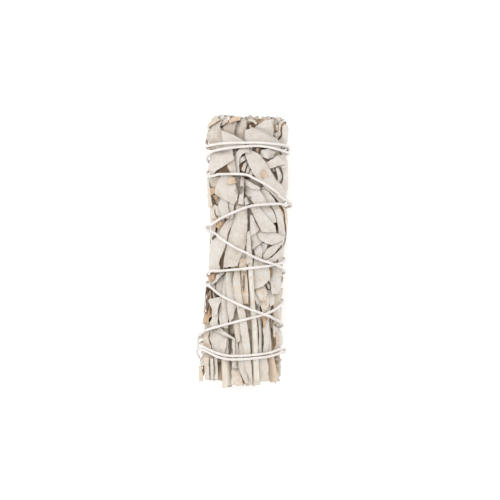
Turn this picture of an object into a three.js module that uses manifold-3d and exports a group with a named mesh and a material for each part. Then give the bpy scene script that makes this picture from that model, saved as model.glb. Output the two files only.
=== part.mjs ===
// A hand-tied stick of dried white sage, a hundred millimetres long, lying on its side.
// The stick points along Y: cut stems at -Y, folded leaf tips at +Y, and the table at Z = 0.
// Sprigs and loose leaves are laid from the outside inwards. Each one bends down under
// whatever already lies on top of it, so no piece crosses another.
import * as THREE from "three";
import { mergeVertices } from "three/addons/utils/BufferGeometryUtils.js";
import Module from "manifold-3d";

const wasm = await Module();
wasm.setup();

// Driving dimensions, in millimetres. The cut stems end at about -51 along Y.
const LEAFY_END = 51; // the top of the folded leaves
const SHOULDER = 5.5; // rounding where the leaves fold over the leafy end
const CROWN = 0.92; // height of the round above the axis, as a share of the half width
const BELLY = 0.84; // height of the flat underside below the axis, the same way
const HEART = 0.52; // radius of the inner sprigs, the same way
const MEAN_RADIUS = 15.5; // turns an angle round the stick into a length
const BLADE = 0.6; // thickness of a leaf
const GAP = 0.36; // air between one piece and the next
const TWINE = 1.05; // diameter of the twine
const TWINE_SINK = 0.15; // how far the middle of the twine lies inside the outermost leaves
const TWINE_PRESS = 0.12; // how much the table flattens the twine
const REST_HALF_WIDTH = 15.75; // half width of the stick where the twine meets the table
const AXIS_HEIGHT = BELLY * REST_HALF_WIDTH + TWINE / 2 - TWINE_SINK - TWINE_PRESS;

const DEGREE = Math.PI / 180;
const GIRTH = 2 * Math.PI * MEAN_RADIUS;

// The stick from above, as [place along, middle, half width]: it has a waist, a flare at the
// cut end and a slight sway
const PLAN = [
  [-52, -0.6, 15.9],
  [-43, -0.7, 16.0],
  [-34, -0.4, 15.6],
  [-24, -0.3, 15.0],
  [-10, 0.3, 14.8],
  [0, 0.5, 14.6],
  [12, 0.8, 15.0],
  [23, 0.1, 15.7],
  [32, 0, 15.5],
  [41, -0.7, 15.7],
  [47, -0.3, 15.6],
];

function planAt(along, column) {
  const last = PLAN.length - 1;
  const k = PLAN.findIndex(([y]) => y > along);
  if (k === 0) return PLAN[0][column];
  if (k < 0) return PLAN[last][column];
  const share = THREE.MathUtils.smoothstep(along, PLAN[k - 1][0], PLAN[k][0]);
  return PLAN[k - 1][column] * (1 - share) + PLAN[k][column] * share;
}

const sway = (along) => planAt(along, 1);
const halfWidth = (along) => planAt(along, 2);

// Radius of the section at an angle from the top: an ellipse with a flat underside
function sectionRadius(around, along) {
  const half = halfWidth(along);
  const round = half / Math.hypot(Math.sin(around), Math.cos(around) / CROWN);
  const down = -Math.cos(around);
  return down > 0.2 ? Math.min(round, (half * BELLY) / down) : round;
}

// A point of the stick from its angle, its distance along the surface and its depth below the
// outermost leaves. Past the shoulder the surface turns in over the leafy end.
function onStick(around, along, depth) {
  const straight = LEAFY_END - SHOULDER;
  const turn = THREE.MathUtils.clamp((along - straight) / SHOULDER, 0, Math.PI / 2);
  const across = Math.max(0, along - straight - (SHOULDER * Math.PI) / 2);
  const y = Math.min(along, straight) + (SHOULDER - depth) * Math.sin(turn);
  const drop = SHOULDER * (1 - Math.cos(turn)) + across + depth * Math.cos(turn);
  const radius = sectionRadius(around, Math.min(along, straight)) - drop;
  return new THREE.Vector3(
    sway(y) + radius * Math.sin(around),
    y,
    AXIS_HEIGHT + radius * Math.cos(around),
  );
}

// How deep a piece may lie before it meets the inner sprigs, which spread out above the stems
const STEMS_END = 33;
const END_ROOM = 5.3;

function room(around, along) {
  if (along > STEMS_END) return END_ROOM;
  return (1 - HEART) * sectionRadius(around, along) - GAP;
}

// Repeatable random numbers, each generator with a seed of its own
function dice(seed) {
  let state = seed * 7919 + 17;
  return (low, high) => {
    state = (state * 16807) % 2147483647;
    return low + ((high - low) * state) / 2147483647;
  };
}

// How deep the pieces laid so far reach, on a grid over the unrolled surface
const AROUND_CELLS = 195;
const ALONG_CELLS = 250;
const CELL = GIRTH / AROUND_CELLS; // about half a millimetre
const LOWEST_ALONG = -58;
const covered = new Float32Array(AROUND_CELLS * ALONG_CELLS);

function cellOf(s, v) {
  const i = ((Math.round(s / CELL) % AROUND_CELLS) + AROUND_CELLS) % AROUND_CELLS;
  const j = THREE.MathUtils.clamp(Math.round((v - LOWEST_ALONG) / CELL), 1, ALONG_CELLS - 2);
  return [i, j];
}

function depthAt(s, v) {
  const [i, j] = cellOf(s, v);
  return covered[j * AROUND_CELLS + i];
}

// Marks a cell and its neighbours as taken down to a depth
function cover(s, v, depth) {
  const [i, j] = cellOf(s, v);
  for (let dj = -1; dj <= 1; dj++) {
    for (let di = -1; di <= 1; di++) {
      const k = (j + dj) * AROUND_CELLS + ((i + di + AROUND_CELLS) % AROUND_CELLS);
      covered[k] = Math.max(covered[k], depth);
    }
  }
}

// The point at shares (a, b) of a patch with corners [s, v, ...] at (0,0), (1,0), (0,1), (1,1)
function inPatch(corners, a, b) {
  return corners[0].map(
    (_, n) =>
      (corners[0][n] * (1 - a) + corners[1][n] * a) * (1 - b) +
      (corners[2][n] * (1 - a) + corners[3][n] * a) * b,
  );
}

function geometryFrom(points, faces) {
  const geometry = new THREE.BufferGeometry();
  geometry.setAttribute(
    "position",
    new THREE.Float32BufferAttribute(points.flatMap((p) => [p.x, p.y, p.z]), 3),
  );
  geometry.setIndex(faces.flat());
  return geometry;
}

function solidFrom(geometry) {
  const bare = geometry.clone();
  bare.deleteAttribute("normal");
  bare.deleteAttribute("uv");
  const merged = mergeVertices(bare, 1e-4);
  const mesh = new wasm.Mesh({
    numProp: 3,
    vertProperties: new Float32Array(merged.attributes.position.array),
    triVerts: new Uint32Array(merged.index.array),
  });
  return new wasm.Manifold(mesh);
}

function geometryOf(solid) {
  const mesh = solid.getMesh();
  const geometry = new THREE.BufferGeometry();
  geometry.setAttribute("position", new THREE.BufferAttribute(mesh.vertProperties, 3));
  geometry.setIndex(withoutTinyEdges(mesh.vertProperties, [...mesh.triVerts]));
  geometry.computeVertexNormals();
  return geometry;
}

// Triangles, as a list of corners, with each edge too short to keep drawn together into a point
const LEAST_EDGE = 0.012;

function withoutTinyEdges(positions, corners) {
  const at = (n) => new THREE.Vector3().fromArray(positions, n * 3);
  let triangles = [];
  for (let k = 0; k < corners.length; k += 3) triangles.push(corners.slice(k, k + 3));
  const neighbours = (n) => new Set(triangles.filter((t) => t.includes(n)).flat());
  const canClose = ([a, b]) => {
    const around = neighbours(a);
    return [...neighbours(b)].filter((n) => around.has(n)).length === 4;
  };
  const tiny = () =>
    triangles
      .flatMap(([a, b, c]) => [[a, b], [b, c], [c, a]])
      .filter(([a, b]) => at(a).distanceTo(at(b)) < LEAST_EDGE)
      .find(canClose);
  for (let edge = tiny(); edge; edge = tiny()) {
    const [keep, drop] = edge;
    triangles = triangles
      .map((triangle) => triangle.map((n) => (n === drop ? keep : n)))
      .filter(([a, b, c]) => a !== b && b !== c && c !== a);
  }
  return triangles.flat();
}

// Triangles that close a ring with no hollow in its outline
function fan(around) {
  const faces = [];
  for (let j = 1; j + 1 < around; j++) faces.push([0, j, j + 1]);
  return faces;
}

// A closed solid skinned over rings that all have the same number of points
function skin(rings, cap = fan(rings[0].length)) {
  const around = rings[0].length;
  const points = rings.flat();
  const faces = [];
  for (let i = 0; i + 1 < rings.length; i++) {
    for (let j = 0; j < around; j++) {
      const a = i * around + j;
      const b = i * around + ((j + 1) % around);
      faces.push([a, b, b + around], [a, b + around, a + around]);
    }
  }
  const last = (rings.length - 1) * around;
  for (const [a, b, c] of cap) {
    faces.push([a, c, b], [last + a, last + b, last + c]);
  }
  return solidFrom(geometryFrom(points, faces));
}

// The twine: one length, wound up the stick and down again, always turning the same way.
// Its route is a list of [angle from the top in degrees, millimetres along].
const TWINE_ROUTE = [
  [-92, -32.4], [-78, -31.0], [-38, -28.4], [4, -25.5], [45, -22.6], [84, -18.9], [180, -14.2],
  [283, -8.4], [320, -7.6], [357, -6.6], [400, -5.2], [444, -3.2], [540, 2.0],
  [638, 8.4], [677, 12.3], [716, 16.2], [736, 17.3], [770, 18.0], [806, 18.2], [900, 26.0],
  [1005, 35.5], [1032, 37.4], [1080, 39.0], [1108, 39.1], [1168, 37.1], [1260, 37.2],
  [1358, 38.6], [1400, 39.8], [1437, 40.3], [1467, 40.4], [1528, 39.3], [1620, 34.5],
  [1723, 28.0], [1756, 28.4], [1795, 28.5], [1808, 27.3], [1828, 24.9], [1848, 22.0],
  [1868, 19.2], [1980, 12.5],
  [2090, 7.0], [2113, 4.6], [2138, 1.5], [2161, -0.9], [2185, -3.3], [2248, -7.3], [2340, -10.5],
  [2444, -13.1], [2480, -16.6], [2515, -20.2], [2560, -24.0], [2606, -27.0], [2700, -31.5],
  [2805, -35.9], [2851, -38.8], [2878, -39.1], [2920, -37.9], [2957, -36.2], [3020, -37.4],
  [3080, -38.0], [3165, -37.2], [3211, -40.1], [3238, -40.4], [3280, -39.2], [3317, -37.5],
  [3380, -35.4], [3440, -33.4], [3496, -32.2], [3510, -32.9], [3515, -36.0], [3516, -40.8],
];
const TWINE_STEPS = 250;
const TWINE_SIDES = 6;
const KNOT = [-94, -32.3]; // angle and place along of the knot

// The route as evenly spaced points { s, v, lift } over the unrolled surface
function twineLine() {
  const curve = new THREE.SplineCurve(
    TWINE_ROUTE.map(([angle, y]) => new THREE.Vector2(angle * DEGREE * MEAN_RADIUS, y)),
  );
  const line = curve.getSpacedPoints(TWINE_STEPS).map(({ x, y }) => ({ s: x, v: y, lift: 0 }));
  // A strand climbs over an older one that it crosses
  line.forEach((here, i) => {
    for (let k = 0; k < i - 8; k++) {
      const around = Math.abs(((here.s - line[k].s + GIRTH * 40.5) % GIRTH) - GIRTH / 2);
      const apart = Math.hypot(around, here.v - line[k].v);
      const climb = TWINE * 1.05 * (1 - THREE.MathUtils.smoothstep(apart, 1.1, 3.2));
      const steep = Math.abs(slope(line, i) - slope(line, k)) > 0.15;
      if (steep) here.lift = Math.max(here.lift, climb);
    }
  });
  return line;
}

// Millimetres along the stick for each millimetre round it
function slope(line, i) {
  const a = line[Math.max(0, i - 1)];
  const b = line[Math.min(line.length - 1, i + 1)];
  return (b.v - a.v) / (b.s - a.s || 1);
}

function onTwine({ s, v, lift }) {
  return onStick(s / MEAN_RADIUS, v, TWINE_SINK - lift);
}

// The leaves keep clear of the twine: a trench along its route is taken first
function digTrench(line) {
  const deep = TWINE_SINK + TWINE / 2 + GAP;
  const reach = TWINE / 2 + GAP;
  for (let i = 0; i + 1 < line.length; i++) {
    for (let t = 0; t < 1; t += 0.1) {
      const s = line[i].s + (line[i + 1].s - line[i].s) * t;
      const v = line[i].v + (line[i + 1].v - line[i].v) * t;
      for (let off = -reach; off <= reach; off += CELL / 2) cover(s, v + off, deep);
    }
  }
}

function makeTwine(line) {
  const corners = [];
  for (let k = 0; k < TWINE_SIDES; k++) {
    const a = (k / TWINE_SIDES) * 2 * Math.PI;
    corners.push(new THREE.Vector2((TWINE / 2) * Math.cos(a), (TWINE / 2) * Math.sin(a)));
  }
  const strand = new THREE.ExtrudeGeometry(new THREE.Shape(corners), {
    steps: TWINE_STEPS,
    bevelEnabled: false,
    extrudePath: new THREE.CatmullRomCurve3(line.map(onTwine)),
  });
  const table = new THREE.BoxGeometry(100, 200, 20).translate(0, 0, -10);
  return solidFrom(strand).add(makeKnot()).subtract(solidFrom(table));
}

// The knot: two small turns of the twine round the place where its ends meet
function makeKnot() {
  const [angle, along] = KNOT;
  const middle = onStick(angle * DEGREE, along, TWINE_SINK);
  const turns = 1.6;
  const radius = 0.8;
  const loop = [];
  for (let t = 0; t <= 1.001; t += 1 / 14) {
    const a = t * turns * 2 * Math.PI;
    loop.push(
      new THREE.Vector3(
        middle.x - 0.2 + radius * 0.9 * Math.cos(a),
        middle.y + radius * Math.sin(a),
        middle.z + 2.0 * (t - 0.5),
      ),
    );
  }
  return skin(tubeRings(loop, () => TWINE / 2, TWINE_SIDES));
}

// Rings of points round a path, all turned the same way
function tubeRings(path, radiusAt, sides) {
  return path.map((centre, i) => {
    const ahead = path[Math.min(i + 1, path.length - 1)];
    const behind = path[Math.max(i - 1, 0)];
    const forward = ahead.clone().sub(behind).normalize();
    const seed = Math.abs(forward.z) > 0.9 ? new THREE.Vector3(1, 0, 0) : new THREE.Vector3(0, 0, 1);
    const side = seed.cross(forward).normalize();
    const up = forward.clone().cross(side);
    const ring = [];
    for (let j = 0; j < sides; j++) {
      const a = ((j + 0.5) / sides) * 2 * Math.PI;
      ring.push(
        centre
          .clone()
          .addScaledVector(side, radiusAt(i) * Math.cos(a))
          .addScaledVector(up, radiusAt(i) * Math.sin(a)),
      );
    }
    return ring;
  });
}

// A leaf is given on the unrolled surface by the two ends of its midrib, [s, v], its widths at
// the start, the middle and the end, and how far the midrib bows to the left of its way.
// Its outline is rows of three points: left edge, midrib and right edge.
const LEAST_WIDTH = 0.9;

function leafOutline({ from, to, wide, bow = 0 }, stations, ripple) {
  const [ds, dv] = [to[0] - from[0], to[1] - from[1]];
  const length = Math.hypot(ds, dv);
  const rows = [];
  for (let i = 0; i <= stations; i++) {
    const t = i / stations;
    const bulge = 4 * t * (1 - t);
    const lean = 4 * bow * (1 - 2 * t);
    const ways = [ds - (dv / length) * lean, dv + (ds / length) * lean];
    const way = Math.hypot(ways[0], ways[1]);
    const left = [-ways[1] / way, ways[0] / way];
    const middle = [
      from[0] + ds * t - (dv / length) * bow * bulge,
      from[1] + dv * t + (ds / length) * bow * bulge,
    ];
    const ends = wide[0] * (1 - t) + wide[2] * t;
    const swell = wide[1] - (wide[0] + wide[2]) / 2;
    const wave = 1 + (i % 2 ? ripple : -ripple);
    const width = Math.max(LEAST_WIDTH, (ends + swell * bulge) * wave);
    const across = [0.5, 0, -0.5].map((side) => side * width);
    rows.push(across.map((off) => [middle[0] + left[0] * off, middle[1] + left[1] * off]));
  }
  return rows;
}

// The patches of a leaf, each with its four corners and where they stand in the rows
function patchesOf(rows) {
  const patches = [];
  for (let i = 0; i + 1 < rows.length; i++) {
    for (let j = 0; j < 2; j++) {
      const spots = [[i, j], [i, j + 1], [i + 1, j], [i + 1, j + 1]];
      patches.push({ spots, corners: spots.map(([row, column]) => rows[row][column]) });
    }
  }
  return patches;
}

// Visits a patch at evenly spaced points, as shares (a, b)
function overPatch(steps, visit) {
  for (let a = 0; a <= steps; a++) {
    for (let b = 0; b <= steps; b++) visit(a / steps, b / steps);
  }
}

// The depth of each point of a leaf: as near the outside as what lies over it allows. A tilted
// leaf has one edge tucked deeper than the other.
function leafDepths(rows, tilt) {
  const depths = rows.map((row) => row.map(() => 0));
  for (const { spots, corners } of patchesOf(rows)) {
    let deepest = 0;
    overPatch(8, (a, b) => {
      const [s, v] = inPatch(corners, a, b);
      deepest = Math.max(deepest, depthAt(s, v));
    });
    for (const [i, j] of spots) depths[i][j] = Math.max(depths[i][j], deepest);
  }
  return depths.map((row) => row.map((depth, j) => depth + Math.max(0, tilt * (j - 1))));
}

// Leaves keep to the outer part of the room as far up as stems still have to pass under them
const LEAF_ROOM = 0.68;

function fits(rows, depths) {
  return rows.every((row, i) =>
    row.every(([s, v], j) => {
      const share = v < STEMS_END ? LEAF_ROOM : 1;
      return depths[i][j] + BLADE < share * room(s / MEAN_RADIUS, v);
    }),
  );
}

function coverLeaf(rows, depths) {
  for (const { spots, corners } of patchesOf(rows)) {
    const full = corners.map((corner, n) => [...corner, depths[spots[n][0]][spots[n][1]]]);
    overPatch(10, (a, b) => {
      const [s, v, depth] = inPatch(full, a, b);
      cover(s, v, depth + BLADE + GAP);
    });
  }
}

// A closed blade over the rows, split into triangles alike on both faces
function bladeSolid(rows, depths) {
  const face = (extra) =>
    rows.flatMap((row, i) =>
      row.map(([s, v], j) => onStick(s / MEAN_RADIUS, v, depths[i][j] + extra)),
    );
  const points = [...face(0), ...face(BLADE)];
  const under = points.length / 2;
  const last = rows.length - 1;
  const faces = [];
  for (let i = 0; i < last; i++) {
    for (let j = 0; j < 2; j++) {
      const a = i * 3 + j;
      const [b, c, d] = [a + 1, a + 3, a + 4];
      faces.push([a, b, d], [a, d, c]);
      faces.push([a + under, d + under, b + under], [a + under, c + under, d + under]);
    }
  }
  const rim = [0, 1, 2];
  for (let i = 1; i <= last; i++) rim.push(i * 3 + 2);
  rim.push(last * 3 + 1);
  for (let i = last; i > 0; i--) rim.push(i * 3);
  rim.forEach((a, k) => {
    const b = rim[(k + 1) % rim.length];
    faces.push([a, b + under, b], [a, a + under, b + under]);
  });
  return solidFrom(geometryFrom(points, faces));
}

const LOOSE_STATIONS = 5;
const SPRIG_STATIONS = 4;

// Lays a loose leaf and returns its solid
function layLooseLeaf(spec, roll) {
  const rows = leafOutline(spec, LOOSE_STATIONS, roll(0.02, 0.1));
  const depths = leafDepths(rows, roll(-0.6, 0.6));
  coverLeaf(rows, depths);
  return bladeSolid(rows, depths);
}

// A place on the surface from where it shows when the stick is seen from above, [x, y]
function seen([x, y]) {
  const straight = LEAFY_END - SHOULDER;
  const turn = Math.asin(THREE.MathUtils.clamp((y - straight) / SHOULDER, 0, 0.98));
  const half = halfWidth(Math.min(y, straight)) - SHOULDER * (1 - Math.cos(turn));
  const around = Math.asin(THREE.MathUtils.clamp((x - sway(y)) / half, -1, 1));
  return [around * MEAN_RADIUS, Math.min(y, straight) + SHOULDER * turn];
}

// Loose leaves tucked under the twine along the upper side, uppermost first: the ends of the
// midrib as seen from above, and the widths at the start, the middle and the end
const LOOSE_LEAVES = {
  bent_ribbon: { from: [1.2, 37.6], to: [15.3, 18.8], wide: [4.4, 5.3, 1.2], bow: 0.6 },
  corner_plate: { from: [-4.2, 36.6], to: [-15.6, 30.0], wide: [5.0, 8.0, 7.0] },
  spade: { from: [-9.6, 28.4], to: [-4.6, 17.6], wide: [4.2, 8.4, 3.4] },
  lens: { from: [4.6, 6.8], to: [14.8, 5.8], wide: [2.8, 5.2, 0.9], bow: -0.6 },
  lens_flap: { from: [5.2, 6.6], to: [3.1, 0.6], wide: [3.4, 3.6, 0.9] },
  diagonal_band: { from: [1.3, 17.4], to: [9.6, 7.4], wide: [4.0, 4.4, 4.2] },
  pointed_right: { from: [7.4, -2.6], to: [14.2, 4.2], wide: [2.0, 3.4, 0.9] },
  broad_middle: { from: [-2.0, 16.2], to: [-6.5, -7.2], wide: [4.0, 7.6, 3.0] },
  upper_diagonal: { from: [-1.6, 24.8], to: [7.8, 18.0], wide: [2.8, 4.9, 4.8] },
  left_blade: { from: [-5.6, 14.6], to: [-12.2, -8.0], wide: [2.2, 6.6, 5.0], bow: 0.6 },
  crown_band: { from: [-0.6, 43.2], to: [14.2, 39.8], wide: [5.0, 5.4, 2.6] },
  crown_triangle: { from: [6.8, 44.0], to: [7.6, 50.0], wide: [6.6, 4.9, 1.6] },
  crown_curl: { from: [2.4, 45.0], to: [1.8, 50.7], wide: [3.8, 4.8, 4.6] },
  crown_diagonal: { from: [-9.6, 42.3], to: [-0.4, 40.8], wide: [5.2, 3.7, 0.9] },
  crown_right: { from: [14.0, 39.8], to: [12.4, 50.0], wide: [4.2, 4.8, 4.4] },
  crown_left: { from: [-12.4, 39.2], to: [-11.2, 49.0], wide: [4.6, 5.2, 4.8] },
  crown_middle: { from: [-3.0, 43.4], to: [-3.7, 50.2], wide: [4.6, 5.6, 5.4] },
  crown_fold: { from: [10.8, 42.4], to: [9.8, 50.4], wide: [3.4, 4.2, 4.2] },
  crown_rim: { from: [-8.0, 42.6], to: [-7.8, 49.8], wide: [3.6, 5.0, 4.6] },
  right_flag: { from: [8.4, 32.0], to: [14.2, 34.4], wide: [3.2, 3.8, 3.4] },
  curl_band: { from: [-1.8, 37.6], to: [-2.6, 28.2], wide: [1.9, 2.1, 1.7], bow: -2.0 },
  white_stalk: { from: [-2.5, 28.0], to: [-1.6, 16.8], wide: [1.5, 1.8, 1.9] },
  right_steep: { from: [7.0, 17.8], to: [11.9, 9.8], wide: [5.0, 4.4, 1.4] },
  right_edge: { from: [15.4, 37.4], to: [15.8, 19.6], wide: [2.6, 3.6, 2.4] },
  right_inner: { from: [12.0, 31.4], to: [14.9, 21.6], wide: [2.6, 4.2, 1.6] },
  down_plate: { from: [7.4, -4.8], to: [5.0, -15.6], wide: [5.4, 5.6, 1.2] },
  cool_plate: { from: [-5.4, -7.8], to: [-5.2, -27.2], wide: [3.0, 4.4, 4.0] },
  right_grey: { from: [12.3, -7.4], to: [12.1, -16.4], wide: [2.6, 3.8, 2.0] },
  left_strip: { from: [-10.6, -17.4], to: [-10.9, -28.6], wide: [3.6, 4.0, 2.2] },
  tan_edge: { from: [-14.0, -18.8], to: [-13.8, -27.2], wide: [2.2, 3.2, 2.6] },
  lower_plate: { from: [-8.5, -29.0], to: [-7.2, -38.6], wide: [4.6, 6.0, 3.2] },
  spoon: { from: [-1.7, -17.6], to: [-0.7, -25.4], wide: [1.6, 3.0, 2.5] },
  down_tip: { from: [-4.8, -28.2], to: [-1.6, -33.6], wide: [2.6, 3.1, 1.0] },
  cream_foot: { from: [-0.9, -50.2], to: [-2.5, -41.2], wide: [4.2, 4.8, 3.0] },
  right_foot: { from: [9.3, -48.6], to: [8.5, -35.0], wide: [3.0, 3.3, 2.6] },
};

// Outer sprigs, in the order they are laid: the cut foot of the stem and its upper end, each
// [angle from the top in degrees, millimetres along], and the radius at the foot
const OUTER_SPRIGS = [
  { foot: [23, -50.6], head: [1, 8.5], radius: 1.1 },
  { foot: [14, -50.4], head: [-12, -7], radius: 1.45 },
  { foot: [-18, -50.9], head: [-34, 22], radius: 1.7 },
  { foot: [49, -49.2], head: [40, 25], radius: 1.5 },
  { foot: [-34, -49.6], head: [-55, 26], radius: 1.0 },
  { foot: [-50, -49.4], head: [-76, 28], radius: 1.1 },
  { foot: [68, -47.6], head: [66, 27], radius: 1.2 },
  { foot: [-72, -49.6], head: [-98, 27], radius: 1.35 },
  { foot: [94, -49.8], head: [90, 30], radius: 1.4 },
  { foot: [118, -50.6], head: [114, 24], radius: 1.2 },
  { foot: [142, -48.8], head: [138, 30], radius: 1.4 },
  { foot: [165, -50.2], head: [162, 25], radius: 1.25 },
  { foot: [188, -49.4], head: [186, 31], radius: 1.3 },
  { foot: [212, -50.8], head: [210, 24], radius: 1.3 },
  { foot: [237, -49.0], head: [236, 30], radius: 1.15 },
  { foot: [262, -50.3], head: [250, 22], radius: 1.2 },
];
const STEM_STATIONS = 8;
const STEM_SIDES = 6;
const STEM_TAPER = 0.55; // radius at the upper end, as a share of the foot's
const STEM_SHIFTS = [0, 4, -4, 8, -8]; // degrees to either side in which a stem finds more room

// A stem over the surface: its points { s, v, radius, depth }, as near the outside as what lies
// over it allows
function stemLine({ foot, head, radius }, shift) {
  const points = [];
  for (let i = 0; i <= STEM_STATIONS; i++) {
    const t = i / STEM_STATIONS;
    const angle = (foot[0] + shift + (head[0] - foot[0]) * t) * DEGREE;
    const knot = i % 3 === 2 ? 1.08 : 1;
    points.push({
      s: angle * MEAN_RADIUS,
      v: foot[1] + (head[1] - foot[1]) * t,
      radius: radius * (1 - (1 - STEM_TAPER) * t) * knot,
      depth: 0,
    });
  }
  for (let i = 0; i < STEM_STATIONS; i++) {
    const [a, b] = [points[i], points[i + 1]];
    let deepest = 0;
    overPatch(12, (t, off) => {
      const s = a.s + (b.s - a.s) * t + (off * 2 - 1) * a.radius;
      deepest = Math.max(deepest, depthAt(s, a.v + (b.v - a.v) * t));
    });
    a.depth = Math.max(a.depth, deepest + a.radius);
    b.depth = Math.max(b.depth, deepest + b.radius);
  }
  return points;
}

// Of a few places side by side, a stem settles in the one where it lies least deep
function layStem(spec) {
  const cost = (points, shift) =>
    Math.max(...points.map(({ depth }) => depth)) + Math.abs(shift) / 16;
  let best;
  for (const shift of STEM_SHIFTS) {
    const points = stemLine(spec, shift);
    if (!best || cost(points, shift) < best.cost) best = { points, cost: cost(points, shift) };
  }
  return best.points;
}

function coverStem(points) {
  for (let i = 0; i < STEM_STATIONS; i++) {
    const [a, b] = [points[i], points[i + 1]];
    for (let t = 0; t <= 1.001; t += 1 / 20) {
      for (let off = -1.1; off <= 1.1; off += 0.22) {
        const depth = a.depth + (b.depth - a.depth) * t + a.radius + GAP;
        cover(a.s + (b.s - a.s) * t + off * a.radius, a.v + (b.v - a.v) * t, depth);
      }
    }
  }
}

// Where a stem is at a place along the stick
function stemAt(points, v) {
  const i = THREE.MathUtils.clamp(points.findIndex((p) => p.v > v), 1, STEM_STATIONS);
  const t = (v - points[i - 1].v) / (points[i].v - points[i - 1].v);
  const mix = (key) => points[i - 1][key] + (points[i][key] - points[i - 1][key]) * t;
  return { s: mix("s"), v, depth: mix("depth"), radius: mix("radius") };
}

// The leaves of a sprig, from the top down: broad ones, and narrow ones near the foot. Each takes
// the way, out of a few tries, in which it covers the most of the surface that is still bare.
const LOWEST_LEAF = -46;
const LEAF_SPACING = 8;
const LEAF_TRIES = 9;
const HIGHEST_TIP = 55;
const LAST_SHORT_LEAF = 14; // leaves that grow above this fold over the leafy end
const BARE_DEPTH = 1.2; // a place no deeper than this has only twine over it

const BARE_STEPS = 4;

function bareArea(rows) {
  let area = 0;
  for (const { corners } of patchesOf(rows)) {
    const [p, q, r] = corners;
    const patch = Math.abs((q[0] - p[0]) * (r[1] - p[1]) - (q[1] - p[1]) * (r[0] - p[0]));
    overPatch(BARE_STEPS, (a, b) => {
      const [s, v] = inPatch(corners, a, b);
      if (depthAt(s, v) < BARE_DEPTH) area += patch / (BARE_STEPS + 1) ** 2;
    });
  }
  return area;
}

function tryLeaf(root, roll) {
  const broad = THREE.MathUtils.clamp((root.v + 34) / 40, 0, 1);
  const lean = roll(-1, 1) * (14 + 16 * broad) * DEGREE;
  const overTheEnd = root.v > LAST_SHORT_LEAF;
  const length = overTheEnd ? HIGHEST_TIP - roll(0, 6) - root.v : roll(17, 25) + broad * roll(2, 8);
  const width = roll(3.8, 5.4) + broad * roll(1.5, 4.5) + (overTheEnd ? 1 : 0);
  const spec = {
    from: [root.s, root.v],
    to: [root.s + length * Math.sin(lean), root.v + length * Math.cos(lean)],
    wide: [1.4, width, overTheEnd ? roll(3, 6) : roll(1, 3.2)],
    bow: roll(-1.2, 1.2),
  };
  const rows = leafOutline(spec, SPRIG_STATIONS, roll(0.02, 0.08));
  const depths = leafDepths(rows, roll(-0.8, 0.8));
  const bare = fits(rows, depths) ? bareArea(rows) : -1;
  depths[0] = depths[0].map((depth) => Math.max(depth, root.depth));
  return { rows, depths, bare };
}

function growLeaf(root, roll) {
  let best = tryLeaf(root, roll);
  for (let n = 1; n < LEAF_TRIES; n++) {
    const other = tryLeaf(root, roll);
    if (other.bare > best.bare) best = other;
  }
  return best;
}

const TOUCHING = 1e-4; // cubic millimetres in common

function touches(solid, others) {
  return others.some((other) => solid.intersect(other).volume() > TOUCHING);
}

function makeSprig(spec, seed, others) {
  const roll = dice(seed);
  const points = layStem(spec);
  const path = points.map((p) => onStick(p.s / MEAN_RADIUS, p.v, p.depth));
  let sprig = skin(tubeRings(path, (i) => points[i].radius, STEM_SIDES));
  for (let v = points[STEM_STATIONS].v - roll(1, 4); v > LOWEST_LEAF; v -= LEAF_SPACING) {
    const { rows, depths, bare } = growLeaf(stemAt(points, v), roll);
    if (bare <= 0) continue;
    const leaf = bladeSolid(rows, depths);
    const joined = sprig.add(leaf);
    if (touches(leaf, others) || joined.decompose().length > 1) continue;
    sprig = joined;
    coverLeaf(rows, depths);
  }
  coverStem(points);
  return sprig;
}

// Inner sprigs: one in the middle and six round it. Each is a stem with its leaves gathered
// lengthways round it, so its section is a stem with curved blades standing out of it. They
// spread above the ends of the outer stems and close the leafy end.
const INNER_COUNT = 6;
const INNER_BLADES = 5;
const INNER_STEM = 1.25;
const INNER_SHARE = 1 / 3 - 0.025; // radius of one inner sprig, as a share of the whole heart
const BLADE_FOOT = 0.42; // radius at the feet of its blades, as a share of its own radius
const BLADE_SPREAD = 0.42; // angle from a blade's middle to either side of its foot, in radians
const INNER_TWIST = 0.2; // turn of an inner sprig from one ring to the next
const HEART_SHARES = [
  [-43, 0.5],
  [5, 0.5],
  [32.4, 0.5],
  [36.5, 0.6],
  [44.8, 0.6],
  [48.6, 0.42],
];

// A point of the heart of the stick from its place in a circle of radius one
function inHeart(x, z, y, share) {
  const around = Math.atan2(x, z);
  const radius = Math.hypot(x, z) * share * sectionRadius(around, Math.min(y, LEAFY_END - SHOULDER));
  return new THREE.Vector3(
    sway(y) + radius * Math.sin(around),
    y,
    AXIS_HEIGHT + radius * Math.cos(around),
  );
}

// The section of the gathered leaves, as [angle, radius in shares]: blades swept to one side
function bladesSection() {
  const foot = INNER_SHARE * BLADE_FOOT;
  const ring = [];
  for (let k = 0; k < INNER_BLADES; k++) {
    const a = (k / INNER_BLADES) * 2 * Math.PI;
    ring.push([a - BLADE_SPREAD, foot]);
    ring.push([a + 0.4, INNER_SHARE]);
    ring.push([a + 0.75, INNER_SHARE * 0.96]);
    ring.push([a + BLADE_SPREAD, foot]);
  }
  return ring;
}

// Triangles that close the section, each going the same way round as the section does
function bladesCap(section) {
  const outline = section.map(([a, r]) => new THREE.Vector2(r * Math.sin(a), r * Math.cos(a)));
  const clockwise = THREE.ShapeUtils.isClockWise(outline);
  return THREE.ShapeUtils.triangulateShape(outline, []).map((face) => {
    const same = THREE.ShapeUtils.isClockWise(face.map((k) => outline[k])) === clockwise;
    return same ? face : [...face].reverse();
  });
}

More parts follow.
